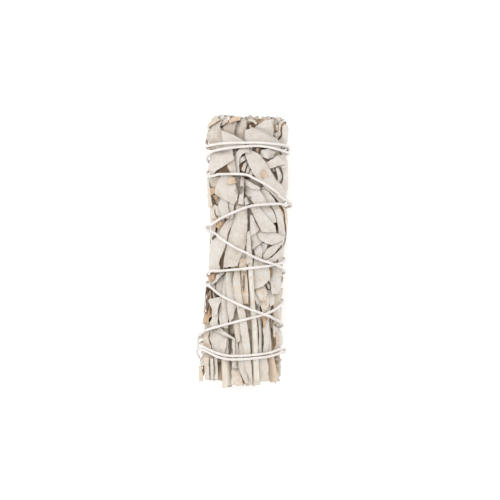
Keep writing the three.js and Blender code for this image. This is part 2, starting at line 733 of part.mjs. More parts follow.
function makeInnerSprig(x, z, turn, foot) {
  const section = bladesSection();
  const [leavesStart, firstShare] = HEART_SHARES[0];
  const stemRing = (y) =>
    section.map((_, k) => {
      const a = (k / section.length) * 2 * Math.PI - BLADE_SPREAD + turn;
      const offset = new THREE.Vector3(INNER_STEM * Math.sin(a), 0, INNER_STEM * Math.cos(a));
      return inHeart(x, z, y, firstShare).add(offset);
    });
  const leafRings = HEART_SHARES.map(([y, share], i) =>
    section.map(([angle, radius]) => {
      const a = angle + turn + i * INNER_TWIST;
      return inHeart(x + radius * Math.sin(a), z + radius * Math.cos(a), y, share);
    }),
  );
  const rings = [stemRing(foot), stemRing(leavesStart - 0.6), ...leafRings];
  return skin(rings, bladesCap(section));
}

// The materials, by the colours of the dried plant
const FINISHES = {
  leaf: { color: 0xd8d2c8, roughness: 0.95 },
  stem: { color: 0xcfc4ae, roughness: 0.85 },
  twine: { color: 0xf3efe8, roughness: 0.9 },
};

function named(name, solid, finish) {
  const material = new THREE.MeshStandardMaterial({ ...FINISHES[finish], metalness: 0, flatShading: true });
  const mesh = new THREE.Mesh(geometryOf(solid), material);
  mesh.name = name;
  return mesh;
}

// The largest body of a solid, without its loose scraps
function largest(solid) {
  return solid.decompose().sort((a, b) => b.volume() - a.volume())[0];
}

const stick = new THREE.Group();
stick.name = "sage_stick";

const line = twineLine();
digTrench(line);
stick.add(named("twine", makeTwine(line), "twine"));

const laid = [];
Object.entries(LOOSE_LEAVES).forEach(([name, spec], n) => {
  const leaf = layLooseLeaf({ ...spec, from: seen(spec.from), to: seen(spec.to) }, dice(n + 100));
  laid.push(leaf);
  stick.add(named("leaf_" + name, leaf, "leaf"));
});

OUTER_SPRIGS.forEach((spec, n) => {
  const sprig = largest(makeSprig(spec, n + 1, laid));
  laid.push(sprig);
  stick.add(named("sprig_" + String(n + 1).padStart(2, "0"), sprig, "leaf"));
});

stick.add(named("inner_sprig_0", makeInnerSprig(0, 0, 0, -47.5), "stem"));
for (let k = 0; k < INNER_COUNT; k++) {
  const a = (k / INNER_COUNT) * 2 * Math.PI;
  const inner = makeInnerSprig((2 / 3) * Math.sin(a), (2 / 3) * Math.cos(a), k * 0.7, -48 - (k % 3));
  stick.add(named("inner_sprig_" + (k + 1), inner, "stem"));
}

export default stick;
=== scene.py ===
import math

import bpy
import numpy as np
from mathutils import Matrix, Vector


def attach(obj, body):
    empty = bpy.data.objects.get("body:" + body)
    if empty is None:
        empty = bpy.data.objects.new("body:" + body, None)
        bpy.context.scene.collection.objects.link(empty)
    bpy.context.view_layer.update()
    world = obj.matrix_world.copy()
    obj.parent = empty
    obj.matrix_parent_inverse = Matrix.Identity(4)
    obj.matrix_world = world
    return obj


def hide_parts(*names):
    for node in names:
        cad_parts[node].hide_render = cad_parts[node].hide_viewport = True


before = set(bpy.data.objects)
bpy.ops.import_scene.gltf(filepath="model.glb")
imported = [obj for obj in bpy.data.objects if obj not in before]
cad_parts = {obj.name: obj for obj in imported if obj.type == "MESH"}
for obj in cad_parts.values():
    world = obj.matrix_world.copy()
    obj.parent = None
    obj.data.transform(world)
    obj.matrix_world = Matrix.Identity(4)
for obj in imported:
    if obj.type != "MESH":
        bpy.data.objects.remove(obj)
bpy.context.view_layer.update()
MM = 0.001

# The studio: a matt white painted table seen from straight above, under one large soft lamp to
# the upper left and an even white room, so that only the gaps between the leaves are dark.


def linear(hex_colour):
    """An sRGB hex colour as the linear colour that a shader takes."""
    parts = [int(hex_colour[i : i + 2], 16) / 255 for i in (1, 3, 5)]
    return [c / 12.92 if c <= 0.04045 else ((c + 0.055) / 1.055) ** 2.4 for c in parts] + [1.0]


def node(tree, kind, settings=None, stops=(), **inputs):
    """Adds a node with its own settings, and with the stops of a colour ramp.

    An input goes by its name, or by i and its number, and is a value, a socket or a node, of
    which the first output in use is taken.
    """
    made = tree.nodes.new(kind)
    for key, value in (settings or {}).items():
        setattr(made, key, value)
    for _ in stops[2:]:
        made.color_ramp.elements.new(0.5)
    for k, (place, colour) in enumerate(stops):
        made.color_ramp.elements[k].position = place
        grey = (colour, colour, colour, 1)
        made.color_ramp.elements[k].color = linear(colour) if isinstance(colour, str) else grey
    for key, value in inputs.items():
        by_number = key[0] == "i" and key[1:].isdigit()
        socket = made.inputs[int(key[1:]) if by_number else key.replace("_", " ")]
        if isinstance(value, bpy.types.Node):
            value = next(output for output in value.outputs if output.enabled)
        if isinstance(value, bpy.types.NodeSocket):
            tree.links.new(value, socket)
        else:
            socket.default_value = value
    return made


def new_material(name):
    """An empty material and the tree to fill."""
    material = bpy.data.materials.new(name)
    material.use_nodes = True
    material.node_tree.nodes.clear()
    return material, material.node_tree


def deselect():
    if bpy.context.object and bpy.context.object.mode != "OBJECT":
        bpy.ops.object.mode_set(mode="OBJECT")
    bpy.ops.object.select_all(action="DESELECT")


def painted_board():
    """Matt white paint: an even white with the faint grain that a roller leaves."""
    material, tree = new_material("matt white painted board")
    grain = node(tree, "ShaderNodeTexNoise", Scale=1 / (1.11 * MM), Detail=2.0)
    bump = node(tree, "ShaderNodeBump", Strength=0.02, Distance=0.2 * MM, Height=grain)
    board = node(
        tree,
        "ShaderNodeBsdfPrincipled",
        Base_Color=linear("#fbfbfa"),
        Roughness=0.9,
        Specular_IOR_Level=0.1,
        Emission_Color=linear("#ffffff"),
        Emission_Strength=0.2,
        Normal=bump,
    )
    node(tree, "ShaderNodeOutputMaterial", Surface=board)
    return material


TABLE_SIZE = 6
deselect()
bpy.ops.mesh.primitive_plane_add(size=TABLE_SIZE, location=(0, 0, 0))
table = bpy.context.object
table.name = "table"
table.data.materials.append(painted_board())

MM_PER_PIXEL = 0.375
PICTURE_WIDTH = 500
SENSOR_WIDTH = 36
CAMERA_HEIGHT = 2.0
WIDEST_HEIGHT = 13.5 * MM
PICTURE_MIDDLE = (1.68 * MM, 0.43 * MM)
LEAN_IN_PICTURE = math.atan(0.03)
camera_data = bpy.data.cameras.new("camera")
camera_data.sensor_width = SENSOR_WIDTH
camera_data.lens = SENSOR_WIDTH * CAMERA_HEIGHT / (PICTURE_WIDTH * MM_PER_PIXEL * MM)
camera_data.clip_end = 10
camera = bpy.data.objects.new("camera", camera_data)
bpy.context.collection.objects.link(camera)
camera.location = (*PICTURE_MIDDLE, CAMERA_HEIGHT + WIDEST_HEIGHT)
camera.rotation_euler = (0, 0, LEAN_IN_PICTURE)
bpy.context.scene.camera = camera

lamp_data = bpy.data.lights.new("soft lamp", "AREA")
lamp_data.shape = "DISK"
lamp_data.size = 0.45
lamp_data.energy = 2.2
lamp = bpy.data.objects.new("soft lamp", lamp_data)
bpy.context.collection.objects.link(lamp)
lamp.location = (-0.34, 0.4, 1.05)
lamp.rotation_euler = (Vector((0, 0, 0)) - lamp.location).to_track_quat("-Z", "Y").to_euler()

room = bpy.data.worlds.new("white room")
room.use_nodes = True
room.node_tree.nodes["Background"].inputs["Color"].default_value = linear("#ffffff")
room.node_tree.nodes["Background"].inputs["Strength"].default_value = 1.14
bpy.context.scene.world = room
bpy.context.scene.view_settings.view_transform = "Standard"

# The twine: about a metre of white three-ply cotton string, wound up the stick and down again,
# each later turn riding over the earlier ones that it crosses, and tied off at the left.
TWINE = 1.05
TWINE_SINK = 0.15
PLY_TURN = 3.3
CLIMB = 1.05 * TWINE
CLIMB_REACH = (1.1, 3.2)

# The stick's own shape, which this and every other piece lies on: a round a little wider than
# high, with a waist and a flare at the cut end. A place on it is a length round it from the
# top, a length along it and a depth below the outermost leaves, all in millimetres.
LEAFY_END = 51
SHOULDER = 5.5
CROWN = 0.92
BELLY = 0.84
MEAN_RADIUS = 15.5
RESTING_HALF_WIDTH = 15.75
RESTING_FLAT = 0.12
GIRTH = 2 * math.pi * MEAN_RADIUS
AXIS_HEIGHT = BELLY * RESTING_HALF_WIDTH + TWINE / 2 - TWINE_SINK - RESTING_FLAT
PLAN = np.array(  # a place along, and the stick's middle and half width there
    [
        [-52, -0.6, 15.9],
        [-43, -0.7, 16.0],
        [-34, -0.4, 15.6],
        [-24, -0.3, 15.0],
        [-10, 0.3, 14.8],
        [0, 0.5, 14.6],
        [12, 0.8, 15.0],
        [23, 0.1, 15.7],
        [32, 0, 15.5],
        [41, -0.7, 15.7],
        [47, -0.3, 15.6],
    ]
)


def smoothstep(x, low, high):
    x = np.clip((np.asarray(x, float) - low) / (high - low), 0, 1)
    return x * x * (3 - 2 * x)


def plan_at(along, column):
    """The middle (column 1) or the half width (column 2) of the stick at a place along it."""
    k = np.clip(np.searchsorted(PLAN[:, 0], along, side="right"), 1, len(PLAN) - 1)
    share = smoothstep((along - PLAN[k - 1, 0]) / (PLAN[k, 0] - PLAN[k - 1, 0]), 0, 1)
    return PLAN[k - 1, column] * (1 - share) + PLAN[k, column] * share


def section_radius(around, along):
    """How far the stick reaches from its middle: an oval with a flatter underside."""
    half = plan_at(along, 2)
    round_one = half / np.hypot(np.sin(around), np.cos(around) / CROWN)
    down = -np.cos(around)
    flat = half * BELLY / np.maximum(down, 0.2)
    return np.where(down > 0.2, np.minimum(round_one, flat), round_one)


def on_stick(s, v, depth):
    """The points, in metres, of places on the stick."""
    s, v, depth = np.broadcast_arrays(*(np.asarray(a, float) for a in (s, v, depth)))
    around = s / MEAN_RADIUS
    straight = LEAFY_END - SHOULDER
    turn = np.clip((v - straight) / SHOULDER, 0, math.pi / 2)
    across = np.maximum(0, v - straight - SHOULDER * math.pi / 2)
    y = np.minimum(v, straight) + (SHOULDER - depth) * np.sin(turn)
    drop = SHOULDER * (1 - np.cos(turn)) + across + depth * np.cos(turn)
    radius = np.maximum(section_radius(around, np.minimum(v, straight)) - drop, 0.8)
    x = plan_at(y, 1) + radius * np.sin(around)
    z = AXIS_HEIGHT + radius * np.cos(around)
    return np.stack([x, y, z], axis=-1) * MM


def seen(points, down=0.0):
    """The lengths round and along of points of the upper side, as seen from above, where they
    lie down by so many millimetres."""
    x, y = np.asarray(points, float).T
    straight = LEAFY_END - SHOULDER
    turn = np.arcsin(np.clip((y - straight) / (SHOULDER - down), 0, 0.98))
    half = plan_at(np.minimum(y, straight), 2) - down - (SHOULDER - down) * (1 - np.cos(turn))
    around = np.arcsin(np.clip((x - plan_at(y, 1)) / half, -1, 1))
    return np.stack([around * MEAN_RADIUS, np.minimum(y, straight) + SHOULDER * turn], axis=-1)


class Laid:
    """How deep the pieces laid so far reach, on a grid of cells over the unrolled surface."""

    def __init__(self, around_cells, along_cells, lowest, least=0, place=on_stick):
        self.place = place
        self.cell = GIRTH / around_cells
        self.lowest = lowest
        self.depth = np.full((along_cells, around_cells), float(least))

    def cells(self, s, v):
        rows, columns = self.depth.shape
        i = np.floor(np.asarray(s) / self.cell + 0.5).astype(int) % columns
        j = np.floor((np.asarray(v) - self.lowest) / self.cell + 0.5).astype(int)
        return np.clip(j, 1, rows - 2), i

    def at(self, s, v):
        return self.depth[self.cells(s, v)]

    def cover(self, s, v, depth):
        """Marks the cells and their neighbours as taken down to a depth."""
        j, i = self.cells(s, v)
        depth = np.broadcast_to(depth, j.shape)
        for dj in (-1, 0, 1):
            for di in (-1, 0, 1):
                np.maximum.at(self.depth, (j + dj, (i + di) % self.depth.shape[1]), depth)


# The coarse grid takes the leaves of the solids and the fine one those of this file. The pits
# are the dark holes between the leaves.
coarse = Laid(195, 250, -58)
fine = Laid(584, 760, -60, 0.2)
pits = Laid(584, 760, -60)

TWINE_ROUTE = [  # degrees round from the top, and millimetres along
    (-92, -32.4), (-78, -31.0), (-38, -28.4), (4, -25.5), (45, -22.6), (84, -18.9),
    (180, -14.2), (283, -8.4), (320, -7.6), (357, -6.6), (400, -5.2), (444, -3.2),
    (540, 2.0), (638, 8.4), (677, 12.3), (716, 16.2), (736, 17.3), (770, 18.0),
    (806, 18.2), (900, 26.0), (1005, 35.5), (1032, 37.4), (1080, 39.0), (1108, 39.1),
    (1168, 37.1), (1260, 37.2), (1358, 38.6), (1400, 39.8), (1437, 40.3), (1467, 40.4),
    (1528, 39.3), (1620, 34.5), (1723, 28.0), (1756, 28.4), (1795, 28.5), (1808, 27.3),
    (1828, 24.9), (1848, 22.0), (1868, 19.2), (1980, 12.5), (2090, 7.0), (2113, 4.6),
    (2138, 1.5), (2161, -0.9), (2185, -3.3), (2248, -7.3), (2340, -10.5), (2444, -13.1),
    (2480, -16.6), (2515, -20.2), (2560, -24.0), (2606, -27.0), (2700, -31.5),
    (2805, -35.9), (2851, -38.8), (2878, -39.1), (2920, -37.9), (2957, -36.2),
    (3020, -37.4), (3080, -38.0), (3165, -37.2), (3211, -40.1), (3238, -40.4),
    (3280, -39.2), (3317, -37.5), (3380, -35.4), (3440, -33.4), (3496, -32.2),
    (3510, -32.9), (3515, -36.0), (3516, -40.8),
]
KNOT = (-94, -32.3)
KNOT_TURNS = 1.6
KNOT_RADII = (0.72, 0.8)
KNOT_HEIGHT = 2.0


def spline(points, steps):
    """Evenly spaced points of a smooth curve through points."""
    points = np.asarray(points, float)

    def at(t):
        place = np.asarray(t) * (len(points) - 1)
        k = np.minimum(place.astype(int), len(points) - 2)
        a, b, c, d = (points[np.clip(k + i, 0, len(points) - 1)] for i in (-1, 0, 1, 2))
        t = (place - k)[:, None]
        bent = (2 * a - 5 * b + 4 * c - d) * t**2 + (3 * b - a - 3 * c + d) * t**3
        return 0.5 * (2 * b + (c - a) * t + bent)

    shares = np.linspace(0, 1, 201)
    steps_long = np.linalg.norm(np.diff(at(shares), axis=0), axis=1)
    length = np.concatenate([[0], np.cumsum(steps_long)])
    return at(np.interp(np.linspace(0, length[-1], steps + 1), length, shares))


def twine_line(steps):
    """Points of the route as length round, length along and climb over older turns."""
    s, v = spline([(math.radians(a) * MEAN_RADIUS, y) for a, y in TWINE_ROUTE], steps).T
    slope = np.gradient(v) / np.gradient(s)
    apart_s = np.abs((s[:, None] - s[None] + GIRTH * 40.5) % GIRTH - GIRTH / 2)
    apart = np.hypot(apart_s, v[:, None] - v[None])
    climb = CLIMB * (1 - smoothstep(apart, *CLIMB_REACH))
    older = np.arange(steps + 1)[:, None] - np.arange(steps + 1)[None] > steps * 0.032
    crosses = np.abs(slope[:, None] - slope[None]) > 0.15
    return s, v, np.max(np.where(older & crosses, climb, 0), axis=1)


def ply_profile():
    """The string's section: three round plies pressed together, as a closed curve."""
    angles = np.linspace(0, 2 * math.pi, 12, endpoint=False)
    radii = TWINE / 2 * MM * (0.8 + 0.2 * np.abs(np.cos(1.5 * angles)))
    data = bpy.data.curves.new("ply_profile", "CURVE")
    outline = data.splines.new("POLY")
    outline.points.add(len(angles) - 1)
    outline.use_cyclic_u = True
    for point, a, r in zip(outline.points, angles, radii):
        point.co = (r * math.cos(a), r * math.sin(a), 0, 1)
    profile = bpy.data.objects.new("ply_profile", data)
    bpy.context.collection.objects.link(profile)
    return profile


def lay_string(name, points, profile):
    """A length of string along points, its plies twisted round each other."""
    deselect()
    data = bpy.data.curves.new(name, "CURVE")
    data.dimensions = "3D"
    data.twist_mode = "MINIMUM"
    data.bevel_mode = "OBJECT"
    data.bevel_object = profile
    data.use_fill_caps = True
    run = data.splines.new("POLY")
    run.points.add(len(points) - 1)
    run.points.foreach_set("co", np.hstack([points, np.ones((len(points), 1))]).ravel())
    steps = np.linalg.norm(np.diff(points, axis=0), axis=1)
    turns = np.concatenate([[0], np.cumsum(steps)]) / (PLY_TURN * MM) * 2 * math.pi
    run.points.foreach_set("tilt", turns)
    string = bpy.data.objects.new(name, data)
    bpy.context.collection.objects.link(string)
    string.select_set(True)
    bpy.context.view_layer.objects.active = string
    bpy.ops.object.convert(target="MESH")
    return bpy.context.object


def knot_points():
    """A turn and a half of the string, tight round the place where its ends meet."""
    middle = on_stick(math.radians(KNOT[0]) * MEAN_RADIUS, KNOT[1], TWINE_SINK)
    t = np.linspace(0, 1, 60)
    a = t * KNOT_TURNS * 2 * math.pi
    out, along = KNOT_RADII
    turns = [out * np.cos(a) - 0.2, along * np.sin(a), KNOT_HEIGHT * (t - 0.5)]
    return middle + np.stack(turns, axis=-1) * MM


def points_of(piece):
    """The points of a piece's mesh, a row for each."""
    points = np.empty(len(piece.data.vertices) * 3)
    piece.data.vertices.foreach_get("co", points)
    return points.reshape(-1, 3)


def join(parts, name):
    """Joins parts into one piece with its own mesh."""
    deselect()
    for part in parts:
        part.select_set(True)
    bpy.context.view_layer.objects.active = parts[0]
    if len(parts) > 1:
        bpy.ops.object.join()
    parts[0].name = name
    return parts[0]


def cotton():
    """Bleached cotton: off-white, matt and soft, with fine fibres lying across the plies. The
    fibres are drawn ten times as coarse as real ones, which wouldn't show."""
    material, tree = new_material("bleached cotton string")
    where = node(tree, "ShaderNodeTexCoord").outputs["Object"]
    soil = node(tree, "ShaderNodeTexNoise", Vector=where, Scale=1 / (3.85 * MM), Detail=3.0)
    shades = ((0.3, "#e2dad4"), (0.62, "#efe9e5"))
    shade = node(tree, "ShaderNodeValToRGB", stops=shades, Fac=soil)
    fibre = node(tree, "ShaderNodeTexNoise", Vector=where, Scale=1 / (0.1923 * MM), Detail=2.0)
    bump = node(tree, "ShaderNodeBump", Strength=0.35, Distance=0.06 * MM, Height=fibre)
    skin = node(
        tree,
        "ShaderNodeBsdfPrincipled",
        Base_Color=shade,
        Roughness=0.95,
        Specular_IOR_Level=0.2,
        Sheen_Weight=0.5,
        Sheen_Roughness=0.6,
        Normal=bump,
    )
    node(tree, "ShaderNodeOutputMaterial", Surface=skin)
    return material


def finish_piece(piece, material, slot, *nodes):
    """Gives a finished piece its finish and its place in the stick."""
    piece.data.materials.clear()
    piece.data.materials.append(material)
    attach(piece, "root")
    if nodes:
        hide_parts(*nodes)


strand_s, strand_v, strand_climb = twine_line(2600)
profile = ply_profile()
strand = lay_string("cotton_twine", on_stick(strand_s, strand_v, TWINE_SINK - strand_climb), profile)
twine = join([strand, lay_string("twine_knot", knot_points(), profile)], "cotton_twine")
bpy.data.objects.remove(profile)
corners = points_of(twine)
corners[:, 2] = np.maximum(corners[:, 2], 0)
twine.data.vertices.foreach_set("co", corners.ravel())
bpy.ops.object.shade_smooth()
finish_piece(twine, cotton(), "twine", "twine")


def dig_trench(laid, s, v, gap):
    """Keeps the leaves clear of the string along its route."""
    reach = TWINE / 2 + gap
    for off in np.arange(-reach, reach + 1e-6, laid.cell / 2):
        laid.cover(s, v + off, TWINE_SINK + TWINE / 2 + gap)


GAP = 0.36  # between the pieces of the solids, whose string has fewer points
NARROW_GAP = 0.05
route_s, route_v, _ = twine_line(250)
along_route = np.arange(2501) / 10
trench_s = np.interp(along_route, np.arange(251), route_s)
trench_v = np.interp(along_route, np.arange(251), route_v)
dig_trench(coarse, trench_s, trench_v, GAP)
dig_trench(fine, strand_s, strand_v, NARROW_GAP)

# Loose leaves on the upper side: dried white sage leaves, thin and stiff with a felted skin,
# that came off their stems and were tucked under the string as it was wound. Each is given as
# seen from above by its two long edges, and each lies under what was laid before it.
THICKNESS = 0.3
RIM_SHARE = 0.55
CLEARANCE = 0.06
IN_THE_OPEN = (-44, -50)  # between these the feet come out into the light


def leaf_blank(name, across, along):
    """A flat leaf two long and two wide: a sheet with a thickness of one and thinner edges."""
    deselect()
    bpy.ops.mesh.primitive_grid_add(x_subdivisions=across, y_subdivisions=along, size=2)
    blank = bpy.context.object
    blank.name = name
    wall = blank.modifiers.new("thickness", "SOLIDIFY")
    wall.thickness = 1
    wall.offset = -1
    bpy.ops.object.modifier_apply(modifier="thickness")
    bpy.ops.object.shade_smooth_by_angle(angle=math.radians(40))
    points = points_of(blank)
    rim = np.abs(points[:, :2]).max(axis=1) > 0.999
    points[rim, 2] = -0.5 + (points[rim, 2] + 0.5) * RIM_SHARE
    blank.data.vertices.foreach_set("co", points.ravel())
    unwrap = blank.data.uv_layers.active or blank.data.uv_layers.new(name="UVMap")
    corner = np.empty(len(blank.data.loops), dtype=np.int32)
    blank.data.loops.foreach_get("vertex_index", corner)
    unwrap.data.foreach_set("uv", (points[corner, :2] / 2 + 0.5).ravel())
    bpy.context.collection.objects.unlink(blank)
    return blank


def grid_of(blank):
    """The two axes of a blank's grid, across from -1 to 1 and along from 0 to 1."""
    x, y, _ = points_of(blank).round(4).T
    return np.meshgrid(np.unique(x), (np.unique(y) + 1) / 2)


broad_blank = leaf_blank("broad_blank", 12, 24)
narrow_blank = leaf_blank("narrow_blank", 5, 20)
broad_grid = grid_of(broad_blank)
narrow_grid = grid_of(narrow_blank)


def copy_of(blank, name, shape, look):
    """A copy of a blank in its own shape. look is stored on its points, for the material."""
    piece = bpy.data.objects.new(name, blank.data.copy())
    bpy.context.collection.objects.link(piece)
    piece.data.vertices.foreach_set("co", shape.ravel())
    for key, value in look.items():
        values = np.broadcast_to(value, len(shape)).astype(float)
        piece.data.attributes.new(key, "FLOAT", "POINT").data.foreach_set("value", values)
    return piece


def dice(seed):
    """Repeatable random numbers between two limits, with a seed of their own."""
    state = seed * 7919 + 17

    def roll(low, high):
        nonlocal state
        state = state * 16807 % 2147483647
        return low + (high - low) * state / 2147483647

    return roll


def blur(grid):
    wide = np.pad(grid, 1, mode="edge")
    rows, columns = grid.shape
    return sum(wide[i : i + rows, j : j + columns] for i in range(3) for j in range(3)) / 9


def between(a, many):
    """Values on a grid with many steps put between its neighbours."""
    rows, columns = a.shape
    j = np.linspace(0, rows - 1, (rows - 1) * many + 1)
    i = np.linspace(0, columns - 1, (columns - 1) * many + 1)
    low_j, low_i = np.minimum(j.astype(int), rows - 2), np.minimum(i.astype(int), columns - 2)
    share_j, share_i = (j - low_j)[:, None], (i - low_i)[None]
    near, far = a[low_j], a[low_j + 1]
    near = near[:, low_i] * (1 - share_i) + near[:, low_i + 1] * share_i
    far = far[:, low_i] * (1 - share_i) + far[:, low_i + 1] * share_i
    return near * (1 - share_j) + far * share_j


def deepest_round(laid, s, v, many=4):
    """The deepest that anything laid so far goes in the patches round each place of a grid."""
    depth = laid.at(between(s, many), between(v, many))
    wide = np.pad(depth, many, mode="edge")
    rows, columns = depth.shape
    steps = range(0, 2 * many + 1)
    tall = np.max([wide[k : k + rows : many] for k in steps], axis=0)
    return np.max([tall[:, k : k + columns : many] for k in steps], axis=0)


def ripple(s, v, seed, least, most):
    """Smooth random waves between two wavelengths in millimetres, from about -1 to 1."""
    roll = dice(seed)
    total = 0
    for _ in range(5):
        turn, wave = roll(0, 2 * math.pi), roll(least, most)
        phase = roll(0, 2 * math.pi)
        along = (s * math.cos(turn) + v * math.sin(turn)) * 2 * math.pi / wave
        total = total + np.sin(along + phase)
    return total / 3


def along_edge(edge, t):
    """Places along an edge given by a few points, with its corners a little rounded."""
    edge = np.asarray(edge, float)
    knots = np.linspace(0, 1, len(edge))
    samples = [
        np.stack([np.interp(np.clip(t + off, 0, 1), knots, c) for c in edge.T], -1)
        for off in (-0.02, 0, 0.02)
    ]
    return sum(samples) / 3


def lay_sheet(laid, left, right, seed, grid, fold=0.0, tuck=0.0, lift=0.15, crinkle=0.06):
    """Finds where a sheet between two edges settles under what lies over it.

    Returns its places on the grid of a blank: length round, length along and depth.
    fold is how far the edges drop below the midrib, tuck how far one edge is pushed under,
    lift how far free edges stand up, and crinkle how crumpled it is, in millimetres.
    """
    u, t = grid
    a, b = along_edge(left, t), along_edge(right, t)
    share = (u + 1) / 2
    place = a * (1 - share)[..., None] + b * share[..., None]
    s, v = place[..., 0], place[..., 1]
    ragged = ripple(s, v, seed + 1, 1.2, 3.5)
    width = np.linalg.norm(b - a, axis=-1)
    s = s + ragged * np.abs(u) ** 3 * np.minimum(0.13, width * 0.04)
    v = v + ripple(s, v, seed + 2, 1.0, 3.0) * (2 * np.abs(t - 0.5)) ** 8 * 0.3
    under = deepest_round(laid, s, v) + CLEARANCE
    depth = under
    rounds = 3 if np.abs(s).mean() > 14 else 36  # the string creases the leaves on the flanks
    for _ in range(rounds):
        depth = np.maximum(under, blur(depth))
    relief = fold * np.abs(u) if fold > 0 else -fold * (1 - np.abs(u))
    relief = relief + (tuck * (u + 1) / 2 if tuck > 0 else -tuck * (1 - u) / 2)
    relief = relief + crinkle * (1 + ripple(s, v, seed, 2.2, 6.0))
    free = smoothstep(0.7 - blur(blur(under)), 0, 0.4)
    rise = lift * free * np.maximum(np.abs(u) ** 4, (2 * np.abs(t - 0.5)) ** 6)
    depth = depth + relief - rise
    return s, v, np.maximum(depth, pits.at(s, v)) if laid is fine else depth


def add_leaf(left, right, name, seed, narrow=False, tone=0.0, age=0.0, laid=fine, **form):
    """Lays one leaf between two edges and returns it. tone is its tint, age its browning."""
    blank, grid = (narrow_blank, narrow_grid) if narrow else (broad_blank, broad_grid)
    s, v, depth = lay_sheet(laid, left, right, seed, grid, **form)
    laid.cover(between(s, 7), between(v, 7), between(depth, 7) + THICKNESS)
    columns, rows = grid[0][0], grid[1][:, 0] * 2 - 1
    x, y, layer = points_of(blank).T
    at = np.abs(rows - y[:, None]).argmin(1), np.abs(columns - x[:, None]).argmin(1)
    shape = laid.place(s[at], v[at], depth[at] - layer * THICKNESS)
    # deep, how far the leaf lies under others, sets its painted shade; none where the feet stand out
    # in the light
    lit = smoothstep(v[at], *IN_THE_OPEN) if laid is fine else 0.5
    look = {"tone": tone, "age": age, "deep": depth[at] * (1 - lit)}
    leaf = copy_of(blank, name, shape, look)
    down_s, down_v = s[1:, 1:] - s[:-1, :-1], v[1:, 1:] - v[:-1, :-1]
    up_s, up_v = s[1:, :-1] - s[:-1, 1:], v[1:, :-1] - v[:-1, 1:]
    if (np.sum(down_s * up_v - down_v * up_s) < 0) == (laid is fine):
        leaf.data.flip_normals()
    return leaf


ADD = {"operation": "ADD"}
SUBTRACT = {"operation": "SUBTRACT"}
MULTIPLY = {"operation": "MULTIPLY"}
MULTIPLY_ADD = {"operation": "MULTIPLY_ADD"}
COLOURS = {"data_type": "RGBA"}


